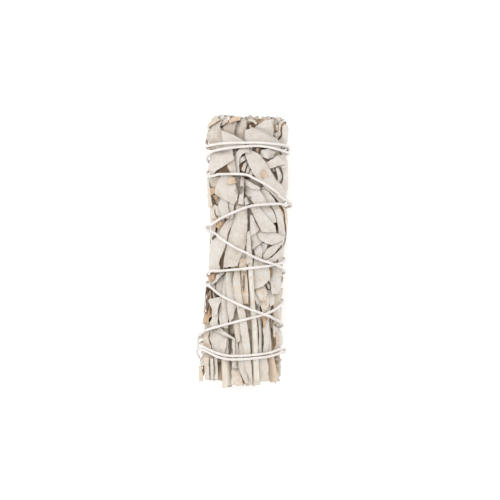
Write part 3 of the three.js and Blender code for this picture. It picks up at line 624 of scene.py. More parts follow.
def sage_leaf():
    """Dried white sage: a pale felt of tiny hairs, warm grey to faintly green or pink, mottled,
    with a fine net of veins, thin brownish edges, and tan or brown where it has aged. Where it
    lies deep under other pieces it is darkened, which is painted shade. The hairs are drawn
    coarser than real ones, which wouldn't show."""
    material, tree = new_material("dried white sage leaf")
    place = node(tree, "ShaderNodeTexCoord")
    stored, pattern, sides = {}, {}, []
    for key in ("tone", "age", "deep"):
        attribute = node(tree, "ShaderNodeAttribute", {"attribute_name": key})
        stored[key] = attribute.outputs["Fac"]
    for key, size, detail, roughness in (  # sizes in millimetres
        ("clouds", 3.03, 3.0, 0.6),
        ("mottling", 0.667, 3.0, 0.7),
        ("browning", 1.43, 4.0, 0.65),
        ("specks", 0.435, 2.0, 0.5),
        ("hairs", 0.238, 3.0, 0.7),
        ("creases", 1.61, 3.0, 0.55),
    ):
        look = {"Scale": 1 / (size * MM), "Detail": detail, "Roughness": roughness}
        pattern[key] = node(tree, "ShaderNodeTexNoise", Vector=place.outputs["Object"], **look)
    for axis in "XY":
        across = node(tree, "ShaderNodeSeparateXYZ", Vector=place.outputs["UV"]).outputs[axis]
        centred = node(tree, "ShaderNodeMath", SUBTRACT, i0=across, i1=0.5)
        sides.append(node(tree, "ShaderNodeMath", {"operation": "ABSOLUTE"}, i0=centred))
    to_edge = node(tree, "ShaderNodeMath", {"operation": "MAXIMUM"}, i0=sides[0], i1=sides[1])
    net = {"Vector": place.outputs["Object"], "Scale": 1 / (0.909 * MM)}
    veins = node(tree, "ShaderNodeTexVoronoi", {"feature": "DISTANCE_TO_EDGE"}, **net)

    tint = node(
        tree, "ShaderNodeMath", MULTIPLY_ADD, i0=stored["tone"], i1=0.26, i2=pattern["clouds"]
    )
    felts = ((0.15, "#b8ac9f"), (0.4, "#d2cac0"), (0.6, "#d8d4ce"), (0.8, "#d6d8d5"))
    colour = node(tree, "ShaderNodeValToRGB", stops=felts, Fac=tint)
    for where, limits, over in (
        (pattern["mottling"], ((0.38, 0.0), (0.7, 0.5)), "#b9aea4"),
        (veins, ((0.0, 0.22), (0.09, 0.0)), "#b3a797"),
        (to_edge, ((0.47, 0.0), (0.5, 0.6)), "#8a765f"),
    ):
        share = node(tree, "ShaderNodeValToRGB", stops=limits, Fac=where)
        colour = node(tree, "ShaderNodeMix", COLOURS, i0=share, i6=colour, i7=linear(over))
    patchy = node(tree, "ShaderNodeMath", SUBTRACT, i0=pattern["browning"], i1=0.56)
    patchy = node(tree, "ShaderNodeMath", MULTIPLY, i0=patchy, i1=1.1)
    clamped = {**MULTIPLY_ADD, "use_clamp": True}
    old = node(tree, "ShaderNodeMath", clamped, i0=stored["age"], i1=0.95, i2=patchy)
    browns = ((0.1, "#d8cbb6"), (0.45, "#c6a98b"), (0.75, "#9a7d62"), (1.0, "#6c5747"))
    brown = node(tree, "ShaderNodeValToRGB", stops=browns, Fac=old)
    share = node(tree, "ShaderNodeValToRGB", stops=((0.04, 0.0), (0.4, 1.0)), Fac=old)
    colour = node(tree, "ShaderNodeMix", COLOURS, i0=share, i6=colour, i7=brown)
    share = node(
        tree, "ShaderNodeValToRGB", stops=((0.73, 0.0), (0.78, 0.55)), Fac=pattern["specks"]
    )
    colour = node(tree, "ShaderNodeMix", COLOURS, i0=share, i6=colour, i7=linear("#8a6a4c"))
    depths = {"From_Min": 1.8, "From_Max": 5.0, "To_Max": 0.2}  # in mm, and how much painted shade there is at most
    # Painted shade: the deeper a point lies under other pieces, the further its colour is mixed
    # towards a shaded brown-grey.
    share = node(tree, "ShaderNodeMapRange", Value=stored["deep"], **depths)
    colour = node(tree, "ShaderNodeMix", COLOURS, i0=share, i6=colour, i7=linear("#857261"))

    ribs = node(tree, "ShaderNodeMath", MULTIPLY, i0=veins, i1=0.6)
    relief = node(tree, "ShaderNodeMath", ADD, i0=pattern["creases"], i1=ribs)
    height = node(tree, "ShaderNodeMath", MULTIPLY_ADD, i0=pattern["hairs"], i1=0.35, i2=relief)
    bump = node(tree, "ShaderNodeBump", Strength=0.55, Distance=0.16 * MM, Height=height)
    skin = node(
        tree,
        "ShaderNodeBsdfPrincipled",
        Base_Color=colour,
        Roughness=0.92,
        Specular_IOR_Level=0.15,
        Sheen_Weight=0.18,
        Sheen_Roughness=0.5,
        Normal=bump,
    )
    node(tree, "ShaderNodeOutputMaterial", Surface=skin)
    return material


leaf_skin = sage_leaf()


# Some stems of the outer sprigs lie between these leaves, so they are laid along with them
def stem_blank():
    """A stem one long and one in radius, with many rings and with closed cut ends."""
    deselect()
    bpy.ops.mesh.primitive_cylinder_add(
        vertices=12, radius=1, depth=1, end_fill_type="TRIFAN", location=(0, 0, 0.5)
    )
    blank = bpy.context.object
    bpy.ops.object.transform_apply(location=True, rotation=False, scale=False)
    bpy.ops.object.mode_set(mode="EDIT")
    for cut in [0.004, *np.linspace(0, 1, 50)[1:-1]]:
        bpy.ops.mesh.select_all(action="SELECT")
        bpy.ops.mesh.bisect(plane_co=(0, 0, float(cut)), plane_no=(0, 0, 1))
    bpy.ops.object.mode_set(mode="OBJECT")
    bpy.ops.object.shade_smooth_by_angle(angle=math.radians(50))
    bpy.context.collection.objects.unlink(blank)
    return blank


stem_form = stem_blank()


def shape_stem(path, out, radii, name, seed, **look):
    """A stem along a path: square with round corners, and ringed where leaves grew."""
    forward = np.gradient(path, axis=0)
    forward /= np.linalg.norm(forward, axis=1, keepdims=True)
    out = out - forward * np.sum(out * forward, axis=1, keepdims=True)
    out /= np.linalg.norm(out, axis=1, keepdims=True)
    side = np.cross(forward, out)
    x, y, z = points_of(stem_form).T
    k = np.clip(np.rint(z * (len(path) - 1)).astype(int), 0, len(path) - 1)
    around = np.arctan2(y, x)
    roll = dice(seed)
    turn = roll(0, math.pi)
    steps = np.linalg.norm(np.diff(path, axis=0), axis=1) / MM
    length = np.concatenate([[0], np.cumsum(steps)])[k]
    square = 1 - 0.1 * np.cos(4 * (around + turn)) + 0.03 * np.sin(9 * around + length * 0.4)
    ring_gap = roll(7.5, 10)
    to_ring = np.abs((length + roll(0, 8)) % ring_gap - ring_gap / 2)
    swell = 1 + 0.14 * np.exp(-((to_ring / 0.55) ** 2))
    size = (np.hypot(x, y) * radii[k] * MM * square * swell)[:, None]
    slant = np.where(z < 0.001, roll(-0.35, 0.35) * x * radii[k] * MM, 0)[:, None]
    shape = path[k] + forward[k] * slant
    shape += side[k] * size * np.cos(around)[:, None] + out[k] * size * np.sin(around)[:, None]
    look["cut"] = np.where(z < 0.001, 1.0, 0.0)
    look["core"] = 1 - np.hypot(x, y)
    look["ring"] = np.exp(-((to_ring / 0.35) ** 2))
    # deep carries the painted shade of the stem's material; none where the feet stand out in the
    # light
    lit = smoothstep(path[k, 1] / MM, *IN_THE_OPEN)
    look["deep"] = np.broadcast_to(look["deep"], len(path))[k] * (1 - lit)
    return copy_of(stem_form, name, shape, look)


def lay_stem(s, v, radii, name, seed, **look):
    """A stem laid on the stick along close points, under what lies over it."""
    deepest = np.zeros(len(s))
    for off in np.linspace(-1, 1, 7):
        deepest = np.maximum(deepest, fine.at(s + off * radii, v) + CLEARANCE)
    depth = deepest
    for _ in range(30):
        wide = np.pad(depth, 1, mode="edge")
        depth = np.maximum(deepest, (wide[:-2] + wide[1:-1] + wide[2:]) / 3)
    middle = depth + radii
    for off in np.linspace(-1, 1, 13):
        fine.cover(s + off * radii, v, middle + radii * math.sqrt(1 - off * off) * 0.9)
    path = on_stick(s, v, middle)
    out = on_stick(s, v, middle - 0.5) - path
    # deep, the depth of the stem's top, sets its painted shade
    return shape_stem(path, out, radii, name, seed, deep=middle - radii, **look)


# The upper side, outermost first: each leaf by its left and right edge, and each stem of a
# sprig by the line that its middle follows from the cut end and its radius at both ends
UPPER_SIDE = [
    ("broad_middle", {"fold": -0.17, "tone": -0.2, "age": 0.11, "lift": 0.1},
     [(0.4, 7.5), (0.3, 1.9), (0.4, -4.9)], [(1.3, 7.5), (2.2, 1.9), (3.1, -4.8)]),
    ("sprig_01", {"age": 0, "tone": 1.2, "down": 1.9},
     [(5.8, -49.7), (5.5, -43), (5.1, -37.4), (4.7, -31.8), (4.2, -25.8), (3.5, -20.2),
      (2.7, -13.1), (2.2, -7.1), (1.7, -1.4), (1.2, 3)],
     (1.16, 0.85)),
    # The leaves of the crown follow. The lower tone of many of them is partly their own greyer
    # colour and partly painted shade, where the end slopes away from the light.
    ("crown_diagonal", {"tuck": 0.3},
     [(-10.7, 45), (-6, 43.1), (-1.4, 40.8)], [(-10.1, 37.9), (-5.8, 38.2), (-1.2, 39.3)]),
    ("crown_band", {"tuck": 0.2, "fold": 0.08, "lift": 0.5},
     [(-1.7, 44.9), (1.1, 46), (5.7, 44.2), (10.2, 42.2), (12.9, 39.9)],
     [(-1.8, 41.9), (-0.3, 39.5), (3.5, 39), (8, 38.8), (12.5, 38.2)]),
    ("crown_band", {"lift": 0.6},
     [(0.4, 46.5), (5.6, 44.9), (10.6, 42.8), (12.9, 41)],
     [(0.9, 45.1), (5.6, 43.3), (10.2, 41.3), (12.3, 39.3)]),
    ("crown_triangle", {"tuck": 0.25},
     [(6.5, 48.9), (2.4, 46.5), (2.1, 44.4)], [(8.1, 49), (9.5, 46.1), (11, 42)]),
    ("crown_right", {"tuck": 0.2, "crinkle": 0.02},
     [(13.3, 49.3), (12.2, 47.1), (12.2, 44.7), (12.7, 41.3), (13, 38.7)],
     [(14.4, 50), (15.3, 47.4), (15.6, 44.4), (15.7, 41.4), (15.7, 38.8)]),
    ("crown_fold", {"lift": 0.4},
     [(11.2, 48.7), (10.9, 46.9), (10.9, 44.4)], [(11.7, 48.3), (11.6, 46.4), (11.3, 44.7)]),
    ("crown_fold", {"lift": 0.4},
     [(12.5, 49.9), (11.9, 48.7), (11.7, 47.9)], [(13.1, 49.5), (12.4, 48.2), (11.9, 47.4)]),
    ("crown_fold", {"lift": 0.2, "tone": -0.6},
     [(10.9, 50.4), (10.8, 49.1), (10.8, 48.1)], [(12.1, 50.4), (11.6, 49.1), (11.4, 48.5)]),
    ("crown_fold", {"lift": 0.3},
     [(9.6, 50.2), (9.8, 47.6), (10.4, 45.5)], [(10.6, 50.3), (10.5, 47.6), (10.6, 44.9)]),
    ("crown_fold", {"lift": 0.2, "age": 0.19, "tone": -0.5},
     [(8.1, 49.6), (9.1, 47.5), (9.8, 44.7)], [(9.7, 50.1), (10.1, 47), (10.6, 44)]),
    ("crown_fold", {"tuck": 0.2},
     [(10.7, 44.2), (11.2, 41.9), (11.7, 39.4)], [(12.1, 45.2), (12.3, 42.9), (12.5, 39.4)]),
    # A dark brown sheet under the folds of the crown, so that the gaps between them show dark:
    # painted shade.
    ("crown_fold", {"age": 0.64, "tone": -2},
     [(7.8, 50), (8.6, 47.2), (10.2, 42)], [(14, 49.8), (13.9, 45.8), (13.7, 39.8)]),
    ("crown_rim", {"tone": -1, "age": 0.3, "crinkle": 0.2},
     [(-15.7, 45.9), (-14.4, 48), (-11.9, 49.5)], [(-15.1, 45.2), (-13.7, 46.8), (-11.2, 48.3)]),
    ("crown_fold", {"tone": -0.6},
     [(6.8, 50.6), (8.5, 45.7), (10.5, 39.7)], [(14.5, 50.9), (14.7, 45.9), (15.1, 39.9)]),
    ("crown_left", {"tuck": 0.3, "lift": 0.4, "age": 0.01, "tone": -1},
     [(-15, 47.3), (-15, 43.1), (-14.6, 37.5)], [(-10.9, 48.8), (-10.6, 43.6), (-10.1, 37.6)]),
    ("crown_left", {"tuck": -0.3, "age": 0.22, "lift": 1.8},
     [(-17.6, 43.1), (-17, 40.7), (-15.9, 37.4)], [(-17, 43.2), (-15.7, 41.4), (-14.5, 37.5)]),
    ("crown_left", {"tuck": 0.3, "age": 0.08},
     [(-16.4, 44.9), (-16.2, 41.9), (-15.7, 37.8)], [(-15.6, 45.2), (-15.4, 42.4), (-14.9, 37.8)]),
    ("crown_left", {"age": 0.68, "tone": -2},
     [(-16.3, 45.5), (-16.2, 41.9), (-15.3, 37.4)], [(-13.8, 46.2), (-13.4, 42.4), (-13.2, 37.5)]),
    ("crown_middle", {"age": 0.45, "crinkle": 0.3, "tone": -0.5},
     [(-8.2, 48.7), (-6.2, 49.8), (-3.7, 50.1)], [(-7.7, 47.5), (-5.7, 48.3), (-3.5, 48.7)]),
    ("crown_rim", {"age": 0.22, "crinkle": 0.15, "tone": -0.6},
     [(-14, 46.8), (-11.8, 48.5), (-9, 49.6)], [(-13.3, 45.7), (-11, 47.1), (-8.5, 48.1)]),
    ("crown_rim", {"tuck": 0.6, "fold": 0.2, "tone": -1.7},
     [(-10.8, 48.3), (-10.4, 45.1), (-9.6, 41.8)], [(-5.2, 48.6), (-5.9, 45.2), (-6.5, 41.5)]),
    ("crown_middle", {"tuck": -0.5, "fold": 0.25, "tone": -1.2},
     [(-6.2, 48.6), (-6.7, 44.8), (-6.8, 40.3)], [(-1.1, 49), (-1.1, 45.4), (-0.8, 40.5)]),
    ("crown_rim", {"age": 0.26, "crinkle": 0.15, "tone": -0.5},
     [(-14.9, 47.1), (-12.2, 48.5), (-9.7, 49.4)], [(-14, 45.7), (-11.5, 47), (-9.1, 47.8)]),
    ("crown_curl", {"age": 0.15, "lift": 0.8, "crinkle": 0.2},
     [(-0.7, 48.5), (0.9, 48.9), (2.2, 48.5), (3.1, 47.5)],
     [(-0.4, 48.1), (0.6, 48.1), (1.5, 47.8), (2.4, 47)]),
    ("crown_curl", {"age": 0.3, "crinkle": 0.4, "lift": 0.3, "tone": -1},
     [(0, 47.4), (0.5, 47.6), (1, 47.4)], [(0.2, 46.1), (0.6, 45.9), (1.1, 46.1)]),
    ("crown_curl", {"age": 1.12, "tone": -1},
     [(-0.7, 48.4), (0.6, 48.4), (2.5, 48.2)], [(-0.7, 45.3), (0.7, 45.5), (3, 45.9)]),
    ("crown_curl", {"age": 0.2, "crinkle": 0.9, "lift": 0.7, "tone": -2},
     [(-1.2, 50.4), (0.9, 51.3), (3.5, 51)], [(-0.5, 48.4), (1.4, 49.3), (3.8, 48.8)]),
    ("crown_curl", {"age": 0.22, "crinkle": 0.9, "lift": 0.3, "tone": -2},
     [(-0.4, 48.2), (1.7, 49.5), (4.3, 49.2)], [(0.5, 46.2), (2.6, 47.6), (4.8, 47.1)]),
    ("crown_curl", {"age": 0.49, "crinkle": 0.8, "lift": 0.7, "tone": -1},
     [(3.4, 51.1), (5.3, 50.6), (6.5, 49.3)], [(2.8, 49.2), (4.2, 48.1), (5.3, 46.8)]),
    ("crown_curl", {"age": 0.22, "crinkle": 0.5},
     [(5.6, 50.7), (7.7, 50.7), (9.7, 50.3)], [(5.7, 48.7), (7.5, 48.9), (9.2, 48.4)]),
    ("crown_curl", {"age": 0.15, "crinkle": 0.4},
     [(-1.2, 47.7), (0.3, 46.9), (2.7, 46.7)], [(-1.6, 45.4), (0.3, 45), (3, 45.5)]),
    ("corner_plate", {"tuck": -0.3, "fold": 0.07, "lift": 0.3},
     [(-15.8, 37.4), (-15.5, 33.7), (-15.1, 30.7), (-14.5, 27.7)],
     [(-7.1, 39), (-5.2, 34), (-9.5, 31.1), (-13.7, 28)]),
    ("corner_plate", {"tone": -0.6, "tuck": 0.3},
     [(-8.4, 32), (-7.6, 30.3), (-6.8, 28.3)], [(-5.5, 34.1), (-4.9, 31.4), (-4.7, 28.4)]),
    ("corner_plate", {"age": 1.2, "tone": -1},
     [(-14, 30.7), (-13.6, 29.6), (-13.2, 28.1)], [(-6.7, 33.2), (-6.6, 31), (-6.6, 28.3)]),
    ("curl_band", {"fold": 0.17},
     [(-5.1, 27.6), (-5.8, 32.1), (-5.7, 35.3), (-4, 37.9), (-1.8, 38.9), (0.5, 38.6)],
     [(-3.2, 27.9), (-3.7, 31.8), (-3.5, 34.4), (-2.4, 36), (-1.1, 36.7), (0.6, 36.4)]),
    ("bent_ribbon", {"age": 0.46, "crinkle": 0.02, "lift": 0},
     [(5.1, 29.7), (6, 30.2), (7, 30)], [(5.6, 27.6), (6.7, 27.2), (7.9, 28.1)]),
    ("bent_ribbon", {"tuck": 0.2, "fold": 0.08, "lift": 0.4},
     [(-2, 37.6), (-0.3, 33), (2.2, 28.7), (7.3, 23.6), (13.1, 18)],
     [(0.3, 38.1), (4.6, 36.2), (7.8, 32), (11.1, 26.7), (15.5, 19.3)]),
    ("curl_band", {"tuck": 0.3},
     [(-4.1, 33.9), (-2.8, 34.8), (-1.4, 35.5)], [(-3.6, 32.3), (-2.3, 33.2), (-1, 33.9)]),
    ("curl_band", {"tuck": 0.6},
     [(-2.5, 30.2), (-1.9, 32.3), (-0.8, 33.7)], [(-1.4, 29.5), (-0.8, 31.5), (0.1, 32.9)]),
    ("curl_band", {"tuck": 0.6},
     [(-0.9, 29.3), (-0.3, 31.3), (0.6, 32.5)], [(0.3, 28.9), (0.8, 30.6), (1.6, 31.6)]),
    ("curl_band", {"tuck": 0.3},
     [(0.4, 29), (1.5, 30.5), (3.1, 30.8)], [(1.1, 27.7), (2.4, 28.6), (3.9, 29.1)]),
    ("curl_band", {"age": 1.12, "tone": -1, "tuck": -0.3},
     [(-5.1, 35.9), (-4.3, 31.8), (-2.6, 27.7)], [(1.1, 36.1), (3.1, 32), (6.2, 27.2)]),
    ("right_flag", {"tuck": -0.3, "fold": 0.14},
     [(6.9, 32.9), (9.2, 34.4), (11.4, 36.1)], [(8.8, 30.9), (11.3, 32.1), (13.9, 33.1)]),
    ("right_flag", {"crinkle": 0.4, "lift": 0.4},
     [(12.3, 32.9), (13.1, 33.1), (13.8, 32.9)], [(12.4, 31.4), (13.1, 31.1), (13.9, 31.6)]),
    ("right_flag", {"crinkle": 0.5, "lift": 0.3, "tuck": 0.3},
     [(5.3, 37.8), (8.1, 38.4), (11.1, 37.4)], [(5.3, 35.5), (7.8, 34.5), (10.9, 35.3)]),
    ("right_flag", {"age": 0.68, "crinkle": 0.6},
     [(3.2, 38.3), (4.3, 38.5), (5.4, 38.2)], [(3.5, 36.6), (4.3, 36.4), (5.4, 36.5)]),
    ("right_edge", {"tuck": -0.6},
     [(13.3, 39.1), (13.7, 32.7), (13.8, 25.2), (13.8, 18.4)],
     [(15.6, 39.1), (15.9, 32.8), (15.9, 25.2), (15.8, 18.5)]),
    ("right_steep", {"tuck": -0.3},
     [(10.7, 31.4), (11.8, 27), (13.9, 21.9)], [(14.2, 32.7), (15, 27.1), (15.3, 21)]),
    ("right_inner", {"tuck": -0.5},
     [(8.6, 35.9), (10, 33.3), (10.6, 30)], [(13.1, 36.4), (13.6, 33), (14, 29.7)]),
    ("right_inner", {"tuck": -0.5},
     [(7.3, 31.2), (7.8, 29.6), (9.3, 27)], [(9.1, 30.4), (10.3, 28.6), (12.1, 25.5)]),
    ("spade", {"age": 0.38, "crinkle": 0.25, "lift": 0.2},
     [(-8.3, 26.2), (-7, 27.2), (-5.3, 27.3)], [(-7.5, 24.6), (-6.2, 24.9), (-4.3, 25.3)]),
    ("spade", {"fold": 0.11, "tuck": -0.2, "lift": 0.3, "tone": -0.3},
     [(-11.4, 28.6), (-12.5, 24.2), (-12.3, 20.9), (-8.7, 18.9), (-5.9, 17.5)],
     [(-7.2, 28.5), (-4.9, 24.6), (-3.6, 20.8), (-3.9, 18.9), (-4.9, 17.2)]),
    ("white_stalk", {"fold": 0.28},
     [(-3.5, 29.2), (-3, 24.7), (-3, 20.9), (-3.6, 17.2)],
     [(-1.9, 29.2), (-1.6, 24.7), (-1.4, 21), (-1.3, 17.2)]),
    ("white_stalk", {"fold": 0.14, "tuck": 0.3},
     [(-3.2, 27.6), (-0.2, 26.5), (2.7, 24.9), (5.3, 23.8)],
     [(-2.7, 26.2), (-0.6, 24.6), (1.9, 23.2), (4.9, 22.9)]),
    ("upper_diagonal", {"fold": 0.11, "tuck": -0.2, "lift": 0.3},
     [(-2.3, 25), (-1.6, 22.1), (2, 18.6), (3.7, 16.8)],
     [(-0.1, 25.7), (4.3, 24.2), (7.8, 19), (8.8, 17)]),
    ("upper_diagonal", {"tuck": -0.4},
     [(4.8, 23.2), (7.8, 19.4), (8.9, 17)], [(7.6, 22.9), (10.6, 19.5), (12.7, 17.3)]),
    ("upper_diagonal", {"crinkle": 0.4, "lift": 0.4},
     [(6.1, 23.7), (7, 24.3), (7.9, 24.2)], [(6.3, 22.3), (7.2, 22.1), (8.2, 22.7)]),
    ("upper_diagonal", {"tuck": 0.3, "lift": 0.3},
     [(-1.5, 19.3), (-0.4, 20.2), (0.5, 20.5)], [(-0.8, 16.8), (0.4, 17.4), (1.6, 18.1)]),
    ("broad_middle", {"tuck": 0.7, "age": 0.22},
     [(-16.1, 27.3), (-15.5, 22.4), (-14.6, 16)], [(-15, 27.5), (-14.2, 22.9), (-13.3, 16.5)]),
    ("spade", {"age": 0.6, "crinkle": 0.5, "lift": 0.4},
     [(-14.5, 22.4), (-13.8, 22.7), (-12.9, 23.4)], [(-14, 20.3), (-13.2, 20.7), (-12.2, 21.3)]),
    ("spade", {"age": 0.68, "crinkle": 0.5, "lift": 0.2, "tone": -1},
     [(-13, 20.3), (-12.3, 20.5), (-11.7, 20.3)], [(-12.5, 18.1), (-12, 17.8), (-11.3, 18.3)]),
    ("left_blade", {"tuck": 0.5, "fold": 0.17},
     [(-11.6, 19.9), (-10.8, 16.2), (-9.9, 11.7)], [(-8.4, 19.2), (-7.6, 15.9), (-7.4, 11.8)]),
    ("left_blade", {"tuck": 0.4},
     [(-8.7, 19.1), (-8, 15.9), (-7.8, 11.8)], [(-5.4, 18), (-5.5, 15.6), (-6.1, 11.8)]),
    ("cream_foot", {"fold": 0.15, "tone": 0.3, "age": 0.2},
     [(-2.6, -21.5), (-1.8, -25.9), (-0.4, -32.6), (0.6, -37.8), (1.6, -44.5)],
     [(0.1, -20.2), (1.6, -26.6), (3.1, -35.3), (3.8, -40.9), (4.6, -50.3)]),
    ("broad_middle", {"fold": 0.15, "tuck": -0.3, "lift": 0.3, "tone": -0.5},
     [(-4.7, 17.1), (-5.7, 12.2), (-7.1, 5.2), (-8.3, -1.4), (-9, -7)],
     [(0.2, 17.5), (0.5, 10.9), (0.2, 2.6), (-1.7, -1.9), (-3.2, -6.1)]),
    ("left_blade", {"fold": 0.11, "tuck": -0.3},
     [(-7.3, 14.8), (-9.6, 9.5), (-11.6, 4.9), (-13.6, 0), (-14.3, -2.7), (-14.5, -5.3),
      (-14.2, -8.5)],
     [(-5.3, 14.7), (-6.6, 9.2), (-7.7, 4.6), (-8.3, 0.1), (-9.6, -3.3), (-10.1, -5.6),
      (-9.7, -8.4)]),
    # A dark brown leaf under the blade and the broad middle leaf, so that the hole between them
    # shows dark: painted shade.
    ("left_blade", {"age": 1.27, "tone": -1},
     [(-11.1, -1.5), (-11.2, -4.5), (-11.3, -7.8)], [(-7, -1.3), (-7.3, -4.3), (-7.9, -7.7)]),
    ("left_blade", {"age": 0.6, "crinkle": 0.3, "tone": -0.8},
     [(-12.7, 11.6), (-11.6, 9.8), (-10.7, 7.5)], [(-11, 12), (-9.7, 10.2), (-9.4, 7.8)]),
    ("left_blade", {"age": 0.22, "tuck": 0.4},
     [(-15.1, 16.8), (-14.3, 10.4), (-14.6, 3.6), (-14.7, -0.9)],
     [(-13.3, 17.3), (-12.2, 11.3), (-12.5, 5.3), (-13.5, 0)]),
    ("left_blade", {"age": 0.11, "tuck": 0.5},
     [(-13.7, 16.9), (-12.5, 12.7), (-11.9, 8.6)], [(-11.2, 16.9), (-10, 13.6), (-10, 10.3)]),
    ("diagonal_band", {"fold": 0.15, "tuck": -0.25, "lift": 0.3},
     [(0.8, 17.1), (2.3, 14.3), (3.9, 11.3), (6.3, 7)],
     [(4.3, 17.8), (7.5, 13.7), (10.9, 9.7), (11.5, 7.3)]),
    ("lens_flap", {"tuck": 0.4, "lift": 0.3},
     [(1.3, 13.6), (1.5, 9.8), (1.6, 5.1)], [(2.2, 13.4), (3.8, 10.7), (5.8, 7.9)]),
    ("diagonal_band", {"tuck": -0.3},
     [(4.2, 17.9), (7.3, 14), (10.1, 10.1)], [(9.6, 18.5), (10.4, 15), (11.5, 11.1)]),
    ("lens", {"fold": 0.19, "lift": 0.3},
     [(4.6, 6.5), (7.1, 7.8), (9.7, 7.8), (14, 5.9)],
     [(5.1, 4.6), (7.6, 3.1), (10.1, 2.5), (14.3, 5.3)]),
    ("lens_flap", {"fold": -0.11, "tuck": 0.2},
     [(1.5, 4.7), (2.9, 7), (4.4, 8.3), (6.9, 7.7)],
     [(2.9, 0.5), (4.7, 2.1), (6.7, 3.3), (7.8, 4.6)]),
    ("pointed_right", {"fold": 0.22, "tuck": 0.2},
     [(6.8, -1.9), (8.4, 1), (10.9, 2.6), (13.4, 4.2)],
     [(7.7, -3.2), (9.7, -2), (12.1, 0.6), (13.8, 3.5)]),
    ("pointed_right", {"fold": 0.17, "tuck": 0.2, "age": 0.08},
     [(7.9, -3.5), (10.3, -2), (12.5, 0.5), (14.3, 2.9)],
     [(9.4, -4.5), (12, -3.1), (14.1, -0.5), (15.2, 2.3)]),
    ("pointed_right", {"tuck": -0.4, "age": 0.11},
     [(10, 18.5), (11.1, 14.2), (12.2, 9.7), (13.1, 5.7)],
     [(12.6, 18.6), (13.2, 14.3), (14, 9.8), (14.5, 4.9)]),
    ("pointed_right", {"age": 0.26},
     [(13.8, 18), (14.3, 11.3), (14.9, 2.3)], [(15.3, 18.5), (15.9, 12.2), (16, 2.4)]),
    ("pointed_right", {"age": 0.56, "tone": -0.6},
     [(12.8, 16.5), (13.4, 11.6), (14.3, 5.6)], [(13.9, 17.4), (14.6, 12.1), (15.2, 6.5)]),
    ("pointed_right", {"age": 0.08, "tone": -0.2},
     [(12, 14.9), (12.6, 9.7), (13.3, 4.1)], [(13, 15.9), (13.7, 10.2), (14.4, 5)]),
    ("pointed_right", {"age": 0.22, "tuck": -0.6},
     [(12.5, 18.4), (13.6, 12), (14.3, 1.9)], [(14.9, 18.7), (15.9, 12.1), (15.9, 2)]),
    ("lens_flap", {"tuck": -0.5},
     [(3.6, 1.7), (3.8, -0.3), (4.5, -3.2)], [(6.3, 3.2), (6.7, 0.2), (6.4, -3.2)]),
    ("lens_flap", {"tuck": -0.5},
     [(6, 3.2), (6.4, 0.5), (6.4, -2.5)], [(8.7, 3.3), (8.5, 1), (7.5, -1.8)]),
    ("broad_middle", {"age": 0.34, "crinkle": 0.25},
     [(-2.6, -2.9), (-2.6, -5), (-2.5, -7.6)], [(0.6, -2.4), (0.6, -4.9), (0.7, -7.5)]),
    ("broad_middle", {"age": 0.68},
     [(-3.8, -0.7), (-3.9, -2.4), (-3.7, -4.2)], [(-2.9, -0.7), (-3, -2.3), (-2.7, -4.2)]),
    ("broad_middle", {"age": 0.45, "crinkle": 0.4, "lift": 0.3},
     [(-5.5, -5.2), (-4.6, -4.1), (-3.2, -4.3)], [(-5.1, -6.9), (-4.1, -6.2), (-2.8, -6)]),
    ("broad_middle", {"age": 0.09, "tuck": 0.4},
     [(-1.9, 1.1), (-2.5, -2.3), (-2.6, -6.5)], [(0.6, 1.3), (0.7, -2.2), (0.9, -6.4)]),
    ("down_plate", {"fold": 0.2, "tuck": -0.2, "lift": 0.3, "age": 0.07},
     [(4.1, -1), (3.5, -5.9), (3.4, -10.4), (4.3, -14.4)],
     [(8.8, -1.4), (10.2, -5.7), (9.8, -10.2), (6.9, -13.1)]),
    ("right_grey", {"age": 0.82, "crinkle": 0.5, "tone": -1, "lift": 0.3},
     [(9.6, -6), (9.5, -7.6), (9.7, -9.4)], [(11.4, -5.6), (11.1, -7.5), (10.9, -9.7)]),
    ("right_grey", {"fold": 0.14, "tuck": -0.3, "age": 0.07},
     [(10, -5.3), (10, -11), (10.7, -15.8)], [(14.3, -5.2), (14.1, -10.8), (12.7, -15.8)]),
    ("right_grey", {"lift": 0.5, "crinkle": 0.2, "age": 0.07},
     [(8.7, -9.5), (9, -11.7), (9.5, -14.2)], [(9.9, -9.3), (10.4, -11.7), (10.4, -13.8)]),
    ("down_plate", {"age": 0.29, "tone": 0.5, "fold": 0.17},
     [(4.6, -11.9), (5, -15.3), (6.3, -18.6)], [(9.2, -10.6), (9.4, -14.3), (8.3, -18.1)]),
    ("down_plate", {"tuck": 0.4, "age": 0.07},
     [(4.1, -14.7), (4.6, -17.9), (5.4, -20.9)], [(6.6, -13.9), (6.9, -17), (6.4, -20.8)]),
    ("left_strip", {"age": 0.71, "crinkle": 0.3},
     [(-13.4, -8.3), (-13.4, -10.2), (-13.1, -12.1)],
     [(-11.2, -8.2), (-11.3, -9.7), (-11.6, -11.2)]),
    ("left_strip", {"tuck": 0.2, "lift": 0.4, "age": 0.07},
     [(-9.6, -7.6), (-11.6, -10.5), (-13.2, -12.3)],
     [(-8.6, -8.8), (-10.4, -11.6), (-12.4, -13.6)]),
    ("spoon", {"fold": 0.14, "lift": 0.2, "age": 0.22},
     [(-5.3, -6.5), (-4.7, -12.9), (-3.6, -18.5), (-2.7, -22.3), (-1.8, -24.8)],
     [(-2.4, -6.5), (-1.6, -12.8), (-0.8, -17.6), (0, -21.4), (-0.1, -24.9)]),
    ("spoon", {"age": 0.33, "tuck": 0.5},
     [(-2, -6.8), (-1.4, -12.8), (-0.5, -19.9)], [(0.7, -6.7), (1.4, -12.7), (2, -19.8)]),
    ("cool_plate", {"fold": 0.08, "tuck": -0.3, "age": 0.07},
     [(-8, -7.7), (-7.5, -14.9), (-6.8, -21.6), (-5.6, -27.7)],
     [(-4.9, -7.7), (-3.8, -14.8), (-3.2, -19.9), (-4.2, -25.2)]),
    ("cool_plate", {"fold": 0.17, "tuck": 0.2, "age": 0.07},
